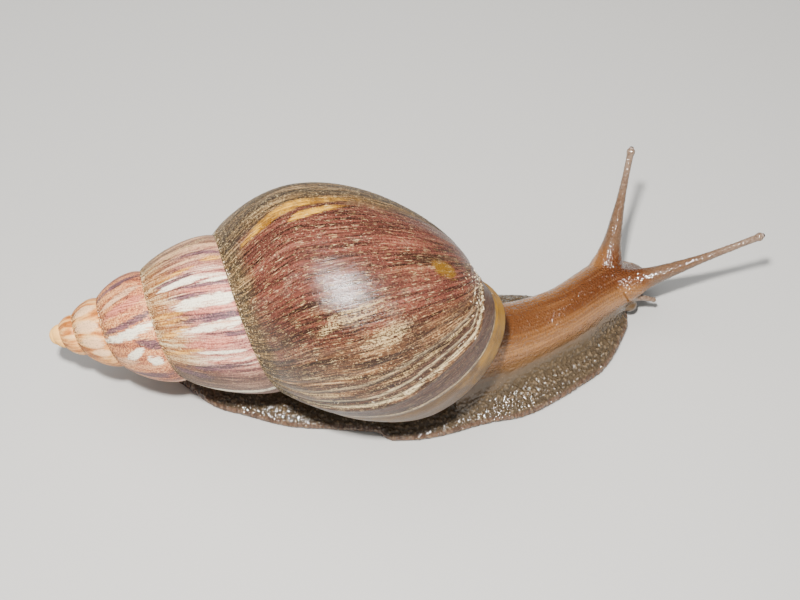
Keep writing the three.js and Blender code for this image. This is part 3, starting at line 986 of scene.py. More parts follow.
PALE_BLOBS = MarkSet(
    pale=(0.93, 0.60, 0.34),
    strength=0.8,
    fray=0.7,
    marks=(
        (3.700, 0.50, 0.030, 0.42), (3.778, 0.62, 0.026, 0.34),
        (3.828, 0.74, 0.020, 0.26), (3.610, 0.55, 0.026, 0.40),
        (3.320, 0.55, 0.030, 0.40), (3.480, 0.55, 0.028, 0.40),
    ),
)
OCHRE_MARKS = MarkSet(
    dark=(0.22, 0.090, 0.006),
    pale=(0.66, 0.34, 0.03),
    strength=0.97,
    fray=0.7,
    marks=(
        (6.621, 0.80, 0.0105, 0.44, -0.024), (6.638, 1.04, 0.0070, 0.15, -0.060),
        (6.744, 1.545, 0.0200, 0.060, 0.12), (6.310, 0.80, 0.0110, 0.45, 0.030),
        (6.415, 1.25, 0.0090, 0.20, -0.030),
    ),
)
CREAM_STREAKS = MarkSet(
    pale=(0.52, 0.37, 0.17),
    strength=0.85,
    marks=(
        (6.8525, 0.78, 0.0030, 0.36, 0.026), (6.815, 1.20, 0.0130, 0.12, -0.060),
        (6.788, 1.00, 0.0060, 0.22, -0.040), (6.776, 1.10, 0.0030, 0.16, -0.030),
        (6.866, 1.30, 0.0035, 0.34, -0.050), (6.880, 0.50, 0.0040, 0.30, 0.010),
        (6.590, 0.60, 0.0030, 0.30, 0.020), (6.240, 0.70, 0.0050, 0.50, 0.020),
        (5.560, 0.55, 0.0080, 0.40, -0.060),
    ),
)


@dataclass(frozen=True)
class ShellFinish:
    """The worn shell: streaks along the growth lines, pale upper whorls, dust and an ochre lip."""

    dark: Colour = (0.016, 0.007, 0.004)
    brown: Colour = (0.042, 0.015, 0.009)
    maroon: Colour = (0.085, 0.026, 0.018)
    red: Colour = (0.138, 0.040, 0.025)
    rose: Colour = (0.250, 0.095, 0.060)
    olive: Colour = (0.036, 0.025, 0.009)
    earth: Colour = (0.082, 0.045, 0.016)
    tan: Colour = (0.320, 0.185, 0.058)
    cream: Colour = (0.720, 0.570, 0.320)
    white: Colour = (0.980, 0.900, 0.700)
    plum: Colour = (0.085, 0.024, 0.024)
    mulberry: Colour = (0.220, 0.070, 0.075)
    lilac: Colour = (0.480, 0.180, 0.135)
    blush: Colour = (0.580, 0.250, 0.180)
    shell_pink: Colour = (0.740, 0.480, 0.360)
    umber: Colour = (0.070, 0.028, 0.014)
    rust: Colour = (0.300, 0.100, 0.020)
    fawn: Colour = (0.420, 0.220, 0.070)
    russet: Colour = (0.260, 0.070, 0.030)
    terracotta: Colour = (0.620, 0.200, 0.060)
    apricot: Colour = (0.800, 0.420, 0.160)
    soot: Colour = (0.060, 0.040, 0.034)
    shade: Colour = (0.050, 0.028, 0.020)
    taupe: Colour = (0.290, 0.155, 0.085)
    amber: Colour = (0.360, 0.110, 0.014)
    copper: Colour = (0.580, 0.210, 0.050)
    honey: Colour = (0.780, 0.360, 0.100)
    sand: Colour = (0.880, 0.520, 0.220)
    apex: Colour = (0.980, 0.560, 0.160)
    low_ochre: Colour = (0.150, 0.070, 0.006)
    band_dark: Colour = (0.016, 0.007, 0.005)
    band_pale: Colour = (0.092, 0.038, 0.026)
    ochre: Colour = (0.262, 0.128, 0.007)
    lip_stain: Colour = (0.080, 0.034, 0.004)
    lip_edge: Colour = (0.030, 0.015, 0.006)
    aperture: Colour = (0.560, 0.560, 0.580)
    dust_brown: Colour = (0.520, 0.350, 0.140)
    dust_pale: Colour = (0.920, 0.700, 0.360)
    turns_to_rests: float = 160.0
    relief_depth: float = 0.12

    def dullness(self, on: ShellGrain) -> Socket:
        """Where the body whorl has lost its gloss: by the suture, at old rests and in mottled zones."""
        edge = on.reach.strayed(on.patch, 6.0).step(9.0, 3.0)
        under = on.turn.strayed(on.patch, 0.06).step(6.785, 6.83)
        over = on.turn.strayed(on.patch, 0.04).step(6.640, 6.600)
        mottled = on.blended(zone=0.7, patch=0.5).step(0.60, 0.76)
        return edge.most(under * 0.55).most(over * 0.9).most(mottled * 0.6)

    def body(self, on: ShellGrain, dullness: Socket) -> Socket:
        """The body whorl, deep red where it is glossy and olive and cream where it is dull."""
        tone = on.blended(fine=0.48, streak=0.30, grit=0.22)
        deep = on.paint.ramp(tone, [
            (0.415, self.dark), (0.455, self.brown), (0.495, self.maroon), (0.55, self.red),
            (0.62, self.rose),
        ])
        dull = on.paint.ramp(tone, [
            (0.44, self.dark), (0.485, self.olive), (0.525, self.earth), (0.565, self.tan),
            (0.625, self.cream),
        ])
        return on.paint.mix(dullness, deep, dull)

    def spire(self, on: ShellGrain) -> Socket:
        """The ground of the upper whorls: flames, worn to tan by the suture and dusky at its foot."""
        paint = on.paint
        flames = paint.ramp(on.fleck, [
            (0.425, self.plum), (0.46, self.mulberry), (0.495, self.lilac), (0.525, self.blush),
            (0.56, self.shell_pink), (0.61, self.white),
        ])
        worn = paint.ramp(on.fleck, [
            (0.42, self.umber), (0.47, self.rust), (0.51, self.fawn), (0.57, self.cream),
        ])
        ground = paint.mix(on.across.strayed(on.patch, 0.7).step(0.68, 0.20) * 0.9, flames, worn)
        earthy = paint.ramp(on.blended(grit=0.55, stripe=0.45), [
            (0.40, self.plum), (0.45, self.russet), (0.52, self.terracotta), (0.60, self.apricot),
        ])
        brownish = on.turn.strayed(on.patch, 0.3).step(5.15, 4.85)
        ground = paint.mix(brownish * 0.85, ground, earthy)
        dusk = paint.mix(on.blended(fine=0.5, grit=0.5).step(0.44, 0.58), self.soot, self.tan)
        slanted = on.turn - (on.across - 0.5) * 0.06
        recent = on.turn.step(5.2, 5.4)
        ground = paint.mix(slanted.step(5.64, 5.58) * recent * 0.40, ground, dusk)
        ground = paint.mix(on.turn.step(5.585, 5.545) * recent * 0.5, ground, dusk)
        shade = paint.mix(on.fleck.step(0.46, 0.60), self.shade, self.taupe)
        shaded = on.turn.strayed(on.shred, 0.03).step(5.810, 5.870) * on.turn.step(6.4, 6.2)
        return paint.mix(shaded * 0.85, ground, shade)

    def flamed(self, on: ShellGrain, ground: Socket) -> Socket:
        """The upper whorls' streaks and white flames over their ground, and the amber of the first ones."""
        paint = on.paint
        for marks in (TAN_STREAKS, AMBER_PATCHES, ROSE_STREAKS, PLUM_STREAKS):
            mottle = on.blended(fine=0.5, shred=0.3, grit=0.2).step(0.43, 0.57)
            ground = marks.over(ground, on, mottle)
        white = WHITE_FLAMES.share(on)
        mottle = (on.fleck + white * 0.06).step(0.46, 0.54)
        flame = paint.mix(mottle, WHITE_FLAMES.dark, WHITE_FLAMES.pale)
        ground = paint.mix(white * WHITE_FLAMES.strength, ground, flame)
        young = paint.ramp(on.bars, [
            (0.40, self.amber), (0.46, self.copper), (0.53, self.honey), (0.66, self.sand),
        ])
        young = PALE_BLOBS.over(young, on)
        young = paint.mix(on.turn.step(2.6, 1.4) * 0.9, young, self.apex)
        first = on.turn.strayed(on.patch, 0.5).step(4.25, 3.95)
        return paint.mix(first * (1.0 - white), ground, young)

    def marked(self, on: ShellGrain, colour: Socket) -> Socket:
        """The body whorl's ochre marks and cream streaks."""
        paint = on.paint
        mottle = on.blended(fine=0.4, patch=0.6).step(0.42, 0.58)
        tint = paint.mix(mottle, OCHRE_MARKS.dark, OCHRE_MARKS.pale)
        tint = paint.mix(on.across.step(1.40, 1.45), tint, self.low_ochre)
        colour = paint.mix(OCHRE_MARKS.share(on) * OCHRE_MARKS.strength, colour, tint)
        broken = CREAM_STREAKS.share(on) * on.blended(fine=0.5, grit=0.5).step(0.47, 0.56)
        return paint.mix(broken * CREAM_STREAKS.strength, colour, CREAM_STREAKS.pale)

    def rested(self, on: ShellGrain, colour: Socket, after: Socket, cream_lines: Socket) -> Socket:
        """The dark new growth past the last rest, the band before it and the cream lines of the rests."""
        paint = on.paint
        banded = paint.mix(on.blended(fine=0.6, grit=0.4).step(0.42, 0.60), self.band_dark, self.band_pale)
        colour = paint.mix(after.step(0.8, 1.8) * 0.9, colour, banded)
        band = after.step(-4.6, -3.6) * after.step(-0.6, -1.4)
        colour = paint.mix(band * on.across.step(0.7, 1.2) * 0.7, colour, banded)
        broken = on.blended(fine=0.7, shred=0.5, grit=0.3).step(0.66, 0.82)
        return paint.mix(cream_lines * broken, colour, self.cream)

    def lipped(self, on: ShellGrain, colour: Socket, lip: Socket) -> Socket:
        """The stained ochre lip with its cream line, its dark edge, and the white inside the aperture."""
        paint = on.paint
        broken = on.blended(shred=0.6, grit=0.4).step(0.42, 0.56)
        colour = paint.mix(lip.line(0.2, 0.6) * broken * 0.85, colour, self.cream)
        stained = on.blended(fine=0.4, patch=0.5) + on.across.step(1.30, 1.60) * 0.13 - 0.04
        fresh = paint.mix(stained.step(0.38, 0.56), self.lip_stain, self.ochre)
        colour = paint.mix(lip.step(0.5, 1.0) * 0.97, colour, fresh)
        edge = on.turn.step(6.9955, 6.9985) * on.turn.step(7.5, 7.3)
        colour = paint.mix(edge, colour, self.lip_edge)
        return paint.mix(on.turn.step(7.35, 7.5), colour, self.aperture)

    def material(self) -> bpy.types.Material:
        """Builds the finish."""
        paint = Paint("worn_shell")
        on = ShellGrain(paint)
        turn, patch, streak, grit = on.turn, on.patch, on.streak, on.grit
        dullness = self.dullness(on)
        upper = self.flamed(on, self.spire(on))
        colour = paint.mix(turn.strayed(streak, 0.3).step(6.00, 6.26), upper, self.body(on, dullness))
        colour = self.marked(on, colour)

        rest = REST_LINE.at(on.across, Socket.ease)
        after = ((turn - rest) * self.turns_to_rests).strayed(patch, 1.2)
        cream_lines = after.line(0.0, 0.75).most(after.line(-2.3, 0.55) * 0.8)
        cream_lines = cream_lines.most(after.line(-6.0, 0.5) * 0.4)
        colour = self.rested(on, colour, after, cream_lines)
        start = LIP_LINE.at(on.across, Socket.ease)
        lip = ((turn - start) * self.turns_to_rests).strayed(streak, 1.4)
        colour = self.lipped(on, colour, lip)

        near_seam = on.reach.strayed(grit, 4.0).step(4.2, 0.6)
        dusty = near_seam.most(dullness * 0.75).most((patch + (streak - 0.5)).step(0.56, 0.72) * 0.6)
        on_body = turn.step(2.2, 3.4) * lip.step(0.6, 0.0) * near_seam.most(turn.step(5.9, 6.2)).most(0.35)
        on_body = on_body * (1.0 - after.step(0.8, 1.8) * 0.85)
        dusty = dusty.most(turn.step(6.0, 6.3) * 0.20)
        specks = (on.blended(crumbs=0.6, grit=0.4) + dusty * 0.050).step(0.590, 0.635) * on_body
        dust = paint.mix(on.blended(patch=0.6, grit=0.4).step(0.44, 0.58), self.dust_brown, self.dust_pale)
        colour = paint.mix(specks * (0.35 + dusty * 0.6).least(0.95), colour, dust)
        scratched = on.scratch.step(0.60, 0.68) * turn.step(5.9, 6.2) * on_body.step(0.0, 0.3)
        colour = paint.mix(scratched * 0.6, colour, dust)
        pits = (on.blended(grit=0.6, fine=0.4) - dusty * 0.05).step(0.46, 0.40) * on_body
        colour = paint.mix(pits * (0.35 + dusty).least(1.0) * 0.85, colour, self.dark)

        rough = 0.15 + dusty.most(specks) * 0.52 + (grit - 0.5) * 0.18
        height = on.fine * 0.60 + grit * (0.14 + dusty * 0.60) + specks * 0.5 + cream_lines * 0.2
        return paint.finish(
            Base_Color=colour,
            Roughness=rough.most(0.12).least(0.95),
            Normal=paint.relief(height, self.relief_depth),
            Specular_IOR_Level=0.50,
        )


@dataclass
class Fibres:
    """Fine dry fibres that cling to the shell, thickest by the sutures and low down.

    Lengths are in millimetres, but for the patch, which is each fibre's size on the bake's map.
    """

    shell: Shell
    count: int = 6000
    steps: int = 5
    sides: int = 3
    seed: int = 29
    least_length: float = 1.5
    most_length: float = 4.6
    curl: float = 0.42
    thickness: float = 0.115
    lift: float = 0.05
    lip_edge: float = 6.985
    patch: float = 0.003

    def roots(self, chance: np.random.Generator) -> tuple[Array, Array]:
        """The turn and the place across the whorl of each fibre's root."""
        turn = 7.0 - 4.3 * chance.random(self.count) ** 1.9
        last = turn > 6.0
        across = np.where(last, 1.86 * chance.random(self.count) ** 0.9, chance.random(self.count))
        seam = chance.random(self.count) < 0.30
        by_seam = 0.02 + 0.16 * chance.random(self.count) ** 1.5
        across = np.where(seam, by_seam, np.clip(across, 0.03, 1.86))
        bare = chance.random(self.count) > across * 1.6 + (7.0 - turn) * 1.4
        sparse = last & ((turn > 6.90) | bare)
        return np.where(sparse, 6.85 - 0.75 * chance.random(self.count), turn), across

    def chart_size(self, turn: Array, across: Array) -> tuple[Array, Array]:
        """The millimetres that one turn and one whorl's width come to at some places."""
        law = self.shell.law
        hair = 1e-3
        by_turn = law.place(turn, across) - law.place(turn - hair, across)
        by_across = law.place(turn, across) - law.place(turn, across - hair)
        return np.linalg.norm(by_turn, axis=1) / hair, np.linalg.norm(by_across, axis=1) / hair

    def paths(self, turn: Array, across: Array, chance: np.random.Generator) -> tuple[Array, Array, Array]:
        """Lets each fibre wander from its root.

        Args:
            turn: The roots' turns.
            across: The roots' places across the whorl.
            chance: The source of random values.

        Returns:
            The turns and the places across the whorl along each fibre, and the fibres' half widths.
        """
        turn_size, across_size = self.chart_size(turn, across)
        longer = self.most_length - self.least_length
        span = self.least_length + longer * chance.random(self.count) ** 1.8
        span *= np.clip((turn - 2.0) / 3.5, 0.35, 1.0)
        heading = 2 * math.pi * chance.random(self.count)
        curl = chance.normal(0.0, self.curl, self.count)
        wide = self.thickness * (0.75 + 0.6 * chance.random(self.count) ** 2)
        turns, places = [turn], [across]
        for _ in range(self.steps):
            stride = span / self.steps
            turns.append(turns[-1] + np.cos(heading) * stride / turn_size)
            places.append(places[-1] + np.sin(heading) * stride / across_size)
            heading = heading + curl
        on_turn = np.clip(np.stack(turns, 1), 0.5, self.lip_edge)
        edge = np.where(on_turn > 6.0, 1.97, 0.98)
        return on_turn, np.clip(np.stack(places, 1), 0.006, edge), wide

    def rings(self, turns: Array, places: Array, wide: Array) -> Array:
        """The points round each fibre at each of its steps, drawn to a point at both ends."""
        flat_turns, flat_places = turns.ravel(), places.ravel()
        out = self.shell.law.outward(flat_turns, flat_places).reshape(self.count, -1, 3)
        on = self.shell.surface(flat_turns, flat_places).reshape(self.count, -1, 3)
        side = np.cross(unit(np.gradient(on, axis=1)), out)
        part = np.linspace(0, 1, self.steps + 1)
        radius = wide[:, None] * np.sqrt(np.clip(1 - (2 * part - 1) ** 4, 0, 1))[None]
        middle = on + out * (self.lift + wide[:, None, None] * 0.4)
        rings = []
        for k in range(self.sides):
            angle = 2 * math.pi * k / self.sides
            ring = side * math.sin(angle) + out * math.cos(angle)
            rings.append(middle + ring * radius[..., None])
        return np.stack(rings, 2)

    def mesh(self) -> BMesh:
        """All the fibres as thin curled tubes, each a small patch of the bake's map at its root's place."""
        chance = np.random.default_rng(self.seed)
        turn, across = self.roots(chance)
        stack = self.rings(*self.paths(turn, across, chance))
        grid, column, row = sheet(self.count * (self.steps + 1) - 1, self.sides)
        fibre, step = np.divmod(column, self.steps + 1)
        between = [face for face in grid.faces if len({fibre[vert.index] for vert in face.verts}) > 1]
        laid(grid, stack[fibre, step, row % self.sides])
        bake = grid.loops.layers.uv.new("OFBake")
        first_turn, turns = 2.5, 4.6
        for face in grid.faces:
            for loop in face.loops:
                at = loop.vert.index
                loop[bake].uv = (
                    (turn[fibre[at]] - first_turn) / turns + self.patch * step[at] / self.steps,
                    across[fibre[at]] / 2 + self.patch * row[at] / self.sides,
                )
        bmesh.ops.delete(grid, geom=between, context="FACES")
        bmesh.ops.remove_doubles(grid, verts=grid.verts, dist=1e-9)
        bmesh.ops.recalc_face_normals(grid, faces=grid.faces)
        return grid

    def build(self, finish: bpy.types.Material) -> bpy.types.Object:
        """Makes the fibres and dresses them."""
        made = object_from("shell_fibres", self.mesh())
        dressed(made, finish)
        return made


@dataclass(frozen=True)
class FibreFinish:
    """Dry fibre, from straw to cream."""

    straw: Colour = (0.640, 0.460, 0.250)
    cream: Colour = (0.920, 0.820, 0.620)

    def material(self) -> bpy.types.Material:
        """Builds the finish."""
        paint = Paint("dry_fibre")
        patch = paint.noise(paint.spot(), 0.5, 2.0)
        colour = paint.mix(patch.step(0.38, 0.60), self.straw, self.cream)
        return paint.finish(Base_Color=colour, Roughness=0.75)


# ---------------------------------------------------------------- flesh: shape


def ball_at(place: Sequence[float], radii: Sequence[float], heading: float) -> BMesh:
    """A stretched ball at a place, turned level by an angle, with sizes in millimetres."""
    ball = bmesh.new()
    bmesh.ops.create_uvsphere(ball, u_segments=24, v_segments=16, radius=1.0)
    bmesh.ops.scale(ball, vec=radii, verts=ball.verts)
    bmesh.ops.rotate(ball, cent=(0, 0, 0), matrix=Matrix.Rotation(heading, 3, "Z"), verts=ball.verts)
    bmesh.ops.translate(ball, vec=Vector(place), verts=ball.verts)
    bmesh.ops.scale(ball, vec=(MM, MM, MM), verts=ball.verts)
    return ball


# The foot from the tail to the front: x and y of its middle, half width, height of the back.
FOOT = (
    (-54, 1, 0.8, 1.5), (-49, 0.9, 5.2, 3.0), (-40, 0.8, 11.3, 4.4), (-24, 0.9, 15.6, 5.4),
    (2, 1.8, 18.4, 6.4), (20, 5.2, 18.9, 6.8), (34, 8.8, 15.6, 6.0), (43, 13.6, 11.8, 4.4),
    (49.5, 19.6, 7.4, 3.0), (54.2, 24.2, 1.2, 1.5),
)
# The neck and head from under the shell to the snout: x, y, top, half width, bottom.
NECK = (
    (4, -4, 28, 8.5, 2), (11, -1.2, 26.5, 8.8, 2), (17.5, 1, 22.5, 8.4, 2), (23.5, 3.4, 19, 7.8, 2),
    (30, 6.5, 17, 7.0, 2), (38, 11.2, 15.8, 6.4, 1.8), (44.5, 16.6, 15.2, 6.2, 1.8),
    (50, 21.0, 14.4, 6.6, 1.8), (54, 24.2, 10.6, 6.0, 1.8), (56.6, 26.3, 8.0, 4.8, 2.0),
    (58.2, 27.6, 6.6, 3.2, 2.6), (58.7, 28.0, 5.6, 1.2, 3.8),
)
FLESH_NODES = (
    "mantle_collar", "trunk", "neck", "head", "foot_tail", "foot_middle", "foot_front",
    "lower_tentacle_right", "lower_tentacle_left",
)


class Side(Enum):
    """A side of the animal, and its sign across the body."""

    RIGHT = -1
    LEFT = 1

    @property
    def word(self) -> str:
        """The side's name in the names of solids."""
        return self.name.lower()


@dataclass(frozen=True)
class Spine:
    """A level path through a table of stations, with the sizes that go along it."""

    stations: tuple

    def column(self, first: int, t: Array) -> Array:
        """Two neighbouring columns of the table, read smoothly."""
        table = np.array(self.stations, float)
        pair = np.zeros((len(table), 2))
        pair[:, : table[:, first : first + 2].shape[1]] = table[:, first : first + 2]
        return along_stations(pair, t)

    def left(self, t: Array) -> Array:
        """The level way to the animal's left."""
        ahead = self.column(0, np.minimum(t + 0.01, 1.0)) - self.column(0, np.maximum(t - 0.01, 0.0))
        heading = unit(ahead)
        return np.stack([-heading[:, 1], heading[:, 0]], -1)

    def placed(self, points: Array) -> tuple[Array, Array, Array]:
        """Where points lie by this path.

        Args:
            points: Points in millimetres.

        Returns:
            How far along each is, from 0 to 1, the same in millimetres, and how far to the left.
        """
        fine, coarse = 320, 8
        t = np.arange(fine + 1) / fine
        middle = self.column(0, t)
        level = points[:, :2]
        rough = np.linalg.norm(level[:, None] - middle[None, ::coarse], axis=-1).argmin(axis=1) * coarse
        near = np.clip(rough[:, None] + np.arange(-coarse, coarse + 1), 0, fine)
        best = np.linalg.norm(level[:, None] - middle[near], axis=-1).argmin(axis=1)
        nearest = near[np.arange(len(points)), best]
        left = self.left(t)[nearest]
        offset = level - middle[nearest]
        across = np.sum(offset * left, axis=-1)
        ahead = np.sum(offset * np.stack([left[:, 1], -left[:, 0]], -1), axis=-1)
        steps = np.linalg.norm(np.diff(middle, axis=0), axis=1)
        length = np.concatenate([[0.0], np.cumsum(steps)])
        share = np.clip(t[nearest] + ahead / (length[-1] or 1.0), 0, 1)
        return share, length[nearest] + ahead, across


@dataclass(frozen=True)
class Tentacle:
    """One tentacle: a bowed path, the radii along it and the round bulb at its end, in millimetres."""

    base: tuple[float, float, float]
    tip: tuple[float, float, float]
    sag: float
    radii: tuple[float, ...]
    bulb: float
    setback: float

    def path(self, u: Array) -> Array:
        """Points along the middle."""
        start, end = np.array(self.base), np.array(self.tip)
        bow = (start + end) / 2 - np.array((0.0, 0.0, self.sag))
        v = 1 - u[:, None]
        return start * v**2 + bow * 2 * v * u[:, None] + end * u[:, None] ** 2

    def ahead(self, u: Array) -> Array:
        """The way along the middle."""
        return unit(self.path(u + 1e-3) - self.path(u - 1e-3))

    def radius(self, u: Array) -> Array:
        """The radius along the path."""
        table = np.stack([np.array(self.radii), np.zeros(len(self.radii))], -1)
        return along_stations(table, u)[:, 0]

    def length(self) -> float:
        """The length of the path."""
        return float(np.linalg.norm(np.diff(self.path(np.linspace(0, 1, 60)), axis=0), axis=1).sum())

    def bulb_place(self) -> Array:
        """The middle of the bulb."""
        end = np.array([1.0])
        return self.path(end)[0] - self.ahead(end)[0] * self.setback

    def mesh(self) -> BMesh:
        """The tentacle as a closed tube as far as its bulb."""
        u = np.linspace(0, 1 - self.setback / self.length(), 90)
        ahead = self.ahead(u)
        side = unit(np.cross(np.array((0.0, 0.0, 1.0)), ahead))
        up = np.cross(ahead, side)
        angle = np.linspace(0, 2 * math.pi, 28, endpoint=False)
        radius = self.radius(u)
        ring = np.cos(angle)[None, :, None] * side[:, None] + np.sin(angle)[None, :, None] * up[:, None]
        return tube(self.path(u)[:, None] + ring * radius[:, None, None])

    def bulb_mesh(self) -> BMesh:
        """The bulb."""
        return ball_at(self.bulb_place(), (self.bulb,) * 3, 0.0)

    def drawn_on(self, points: Array) -> tuple[Array, Array, Array, Array]:
        """Points near the tentacle moved onto its true round.

        Args:
            points: Points in millimetres.

        Returns:
            The moves, the places along the path from 0 to 1, the distances from the surface and the angles.
        """
        u, offset, gap, angle = self.nearest(points)
        stem = gap - self.radius(u)
        stem = np.where(u * self.length() > self.length() - self.setback, 9.0, stem)
        from_bulb = points - self.bulb_place()
        far = np.linalg.norm(from_bulb, axis=-1)
        ball = far - self.bulb
        on_ball = ball < stem
        stem_move = -offset / np.maximum(gap, 0.2)[:, None] * stem[:, None]
        ball_move = -from_bulb / np.maximum(far, 0.2)[:, None] * ball[:, None]
        return np.where(on_ball[:, None], ball_move, stem_move), u, np.minimum(ball, stem), angle

    def nearest(self, points: Array) -> tuple[Array, Array, Array, Array]:
        """Where points lie by this tentacle.

        Args:
            points: Points in millimetres.

        Returns:
            The place along the path from 0 to 1, the offset from it, the distance, and the angle round it.
        """
        u = np.linspace(0, 1, 160)
        middle = self.path(u)
        gap = np.linalg.norm(points[:, None] - middle[None], axis=-1)
        index = gap.argmin(axis=1)
        offset = points - middle[index]
        ahead = self.ahead(u)[index]
        offset = offset - np.sum(offset * ahead, axis=-1, keepdims=True) * ahead
        side = unit(np.cross(np.array((0.0, 0.0, 1.0)), ahead))
        up = np.cross(ahead, side)
        angle = np.arctan2(np.sum(offset * up, -1), np.sum(offset * side, -1))
        return u[index], offset, np.linalg.norm(offset, axis=-1), angle


UPPER_FORM = ((4.4, 3.1, 2.25, 1.75, 1.40, 1.10, 0.92, 0.84, 0.80, 0.86), 1.02, 0.80)
LOWER_FORM = ((1.9, 1.3, 0.85, 0.70, 0.62, 0.62), 0.78, 0.50)
UPPER_TENTACLES = {
    Side.RIGHT: Tentacle((53.2, 18.9, 10.2), (83.0, 20.6, 26.4), 0.9, *UPPER_FORM),
    Side.LEFT: Tentacle((49.2, 23.2, 11.2), (53.7, 39.4, 35.4), -0.6, *UPPER_FORM),
}
LOWER_TENTACLES = {
    Side.RIGHT: Tentacle((54.0, 17.6, 7.4), (61.3, 17.9, 5.7), -0.9, *LOWER_FORM),
    Side.LEFT: Tentacle((47.6, 25.4, 7.4), (49.3, 32.7, 5.7), -0.9, *LOWER_FORM),
}
MOUTH_LOBES = {Side.RIGHT: (55.2, 17.3, 4.4), Side.LEFT: (47.5, 26.7, 4.4)}


@dataclass
class Skin:
    """One skin over the foot, trunk, neck, head and tentacles. Lengths are in millimetres."""

    shell: Shell
    voxel: float = 0.385
    edge: float = 1.1
    fold_at: float = -6.0
    fold_flare: float = 2.2
    fold_reach: float = 24.0
    ripple: float = 0.3
    ripples: int = 7
    lobe_radii: tuple[float, float, float] = (1.8, 1.4, 1.4)
    stalk_land: tuple[float, float] = (4.0, 2.5)
    stalk_radii: tuple[float, float] = (20.0, 10.0)
    stalk_depth: float = 2.5
    stalk_bend: float = 8.0
    flank_spread: float = 5.0
    head_heading: float = math.radians(39.0)
    mouth: tuple[float, float, float] = (58.6, 27.9, 4.6)
    neck_round: float = 7.4
    wart: float = 0.17
    furrow: float = 0.08
    fold: float = 0.55
    pleat: float = 0.035
    stalk_bead: float = 0.075
    mouth_slit: float = 0.75
    lips: float = 0.22
    collar_ridge: float = 0.25
    collar_groove: float = 0.5

    def __post_init__(self) -> None:
        """Sets up the two paths that the body follows."""
        self.foot_spine = Spine(FOOT)
        self.neck_spine = Spine(NECK)

    def foot_widths(self, t: Array) -> tuple[Array, Array, Array]:
        """The foot's width to the near side and to the far side, and its back's height."""
        x = self.foot_spine.column(0, t)[:, 0]
        half, back = self.foot_spine.column(2, t).T
        wave = self.ripple * np.sin(t * self.ripples * 2 * math.pi) * np.minimum(1, half / 8)
        ahead = x - self.fold_at
        fold = self.fold_flare * eased(ahead / 3) * (1 - eased(ahead / self.fold_reach))
        return half + wave + fold, half - wave, back

    def dome(self, share: Array) -> Array:
        """The height of the foot's back at a share of its width, from 1 in the middle to 0 at the margin."""
        return (1 - np.abs(share) ** 1.7) ** 0.9

    def foot(self) -> BMesh:
        """The foot, flat underneath, with a thin margin."""
        t = np.linspace(0, 1, 200)
        near, far, back = self.foot_widths(t)
        top, rim, far_rim = np.linspace(0.86, -0.86, 40), np.linspace(1, 0.9, 8), np.linspace(-0.9, -1, 8)
        over = np.concatenate([rim, top, far_rim])
        margin = 1 - 0.55 * eased((np.abs(over) - 0.96) / 0.04)
        sole = np.linspace(-0.97, 0.97, 40)
        across = np.concatenate([sole, over])
        height = np.zeros((len(t), len(across)))
        height[:, len(sole):] = self.edge * margin + (back[:, None] - self.edge) * self.dome(over)
        width = np.where(across[None] < 0, near[:, None], far[:, None]) * across[None]
        level = self.foot_spine.column(0, t)[:, None] + self.foot_spine.left(t)[:, None] * width[..., None]
        return tube(np.concatenate([level, height[..., None]], -1))

    def neck(self) -> BMesh:
        """The neck and head, without their tentacles."""
        t = np.linspace(0, 1, 160)
        angle = np.linspace(0, 2 * math.pi, 64, endpoint=False)
        top, half = self.neck_spine.column(2, t).T
        bottom = self.neck_spine.column(4, t)[:, 0]
        width = half[:, None] * np.cos(angle)[None]
        height = mixed(bottom[:, None], top[:, None], 0.5 + 0.5 * np.sin(angle)[None])
        level = self.neck_spine.column(0, t)[:, None] + self.neck_spine.left(t)[:, None] * width[..., None]
        return tube(np.concatenate([level, height[..., None]], -1))

    def stalk(self) -> BMesh:
        """The body from the aperture down onto the foot."""
        law = self.shell.law
        third = 48
        rim = self.rim(third)
        lip = law.inside(rim, self.shell.lip_thickness + 0.15, 0.0)
        round_foot = np.concatenate([
            np.linspace(180, 360, 2 * third + 1)[:-1], np.linspace(0, 180, third + 1)[:-1],
        ])
        angle = np.radians(round_foot)
        (x, y), (wide, deep) = self.stalk_land, self.stalk_radii
        low = np.full(len(angle), self.stalk_depth)
        land = np.stack([x + wide * np.cos(angle), y + deep * np.sin(angle), low], -1)
        leaving = lip + law.growing() * self.stalk_bend
        landing = land + np.array((0.0, 0.0, self.stalk_bend))
        rings = [law.inside(rim, self.shell.aperture_inset + 0.1, self.shell.aperture_turn * 0.95)]
        for u in np.linspace(0, 1, 40):
            rings.append(bezier((lip, leaving, landing, land), np.full(len(angle), u)))
        return tube(np.array(rings))

    def flank(self) -> BMesh:
        """The flesh that slopes from the neck's sides out onto the foot."""
        t = np.linspace(0.06, 0.78, 120)
        top, half = self.neck_spine.column(2, t).T
        bottom = self.neck_spine.column(4, t)[:, 0]
        rise = np.linspace(0, 1, 24)
        fading = 1 - eased((t - 0.40) / 0.38)
        hollow = (1 - rise[None]) ** 2 * mixed(0.99, 0.15, fading)[:, None]
        own = half[:, None] * 0.985 * np.sqrt(1 - hollow)
        width = own + self.flank_spread * fading[:, None] * (1 - rise[None]) ** 2.2
        height = mixed(bottom[:, None], (top + bottom)[:, None] * 0.5, rise[None])
        level = np.concatenate([width[:, ::-1], -width], axis=1)
        lift = np.concatenate([height[:, ::-1], height], axis=1)
        place = self.neck_spine.column(0, t)[:, None] + self.neck_spine.left(t)[:, None] * level[..., None]
        return tube(np.concatenate([place, lift[..., None]], -1))

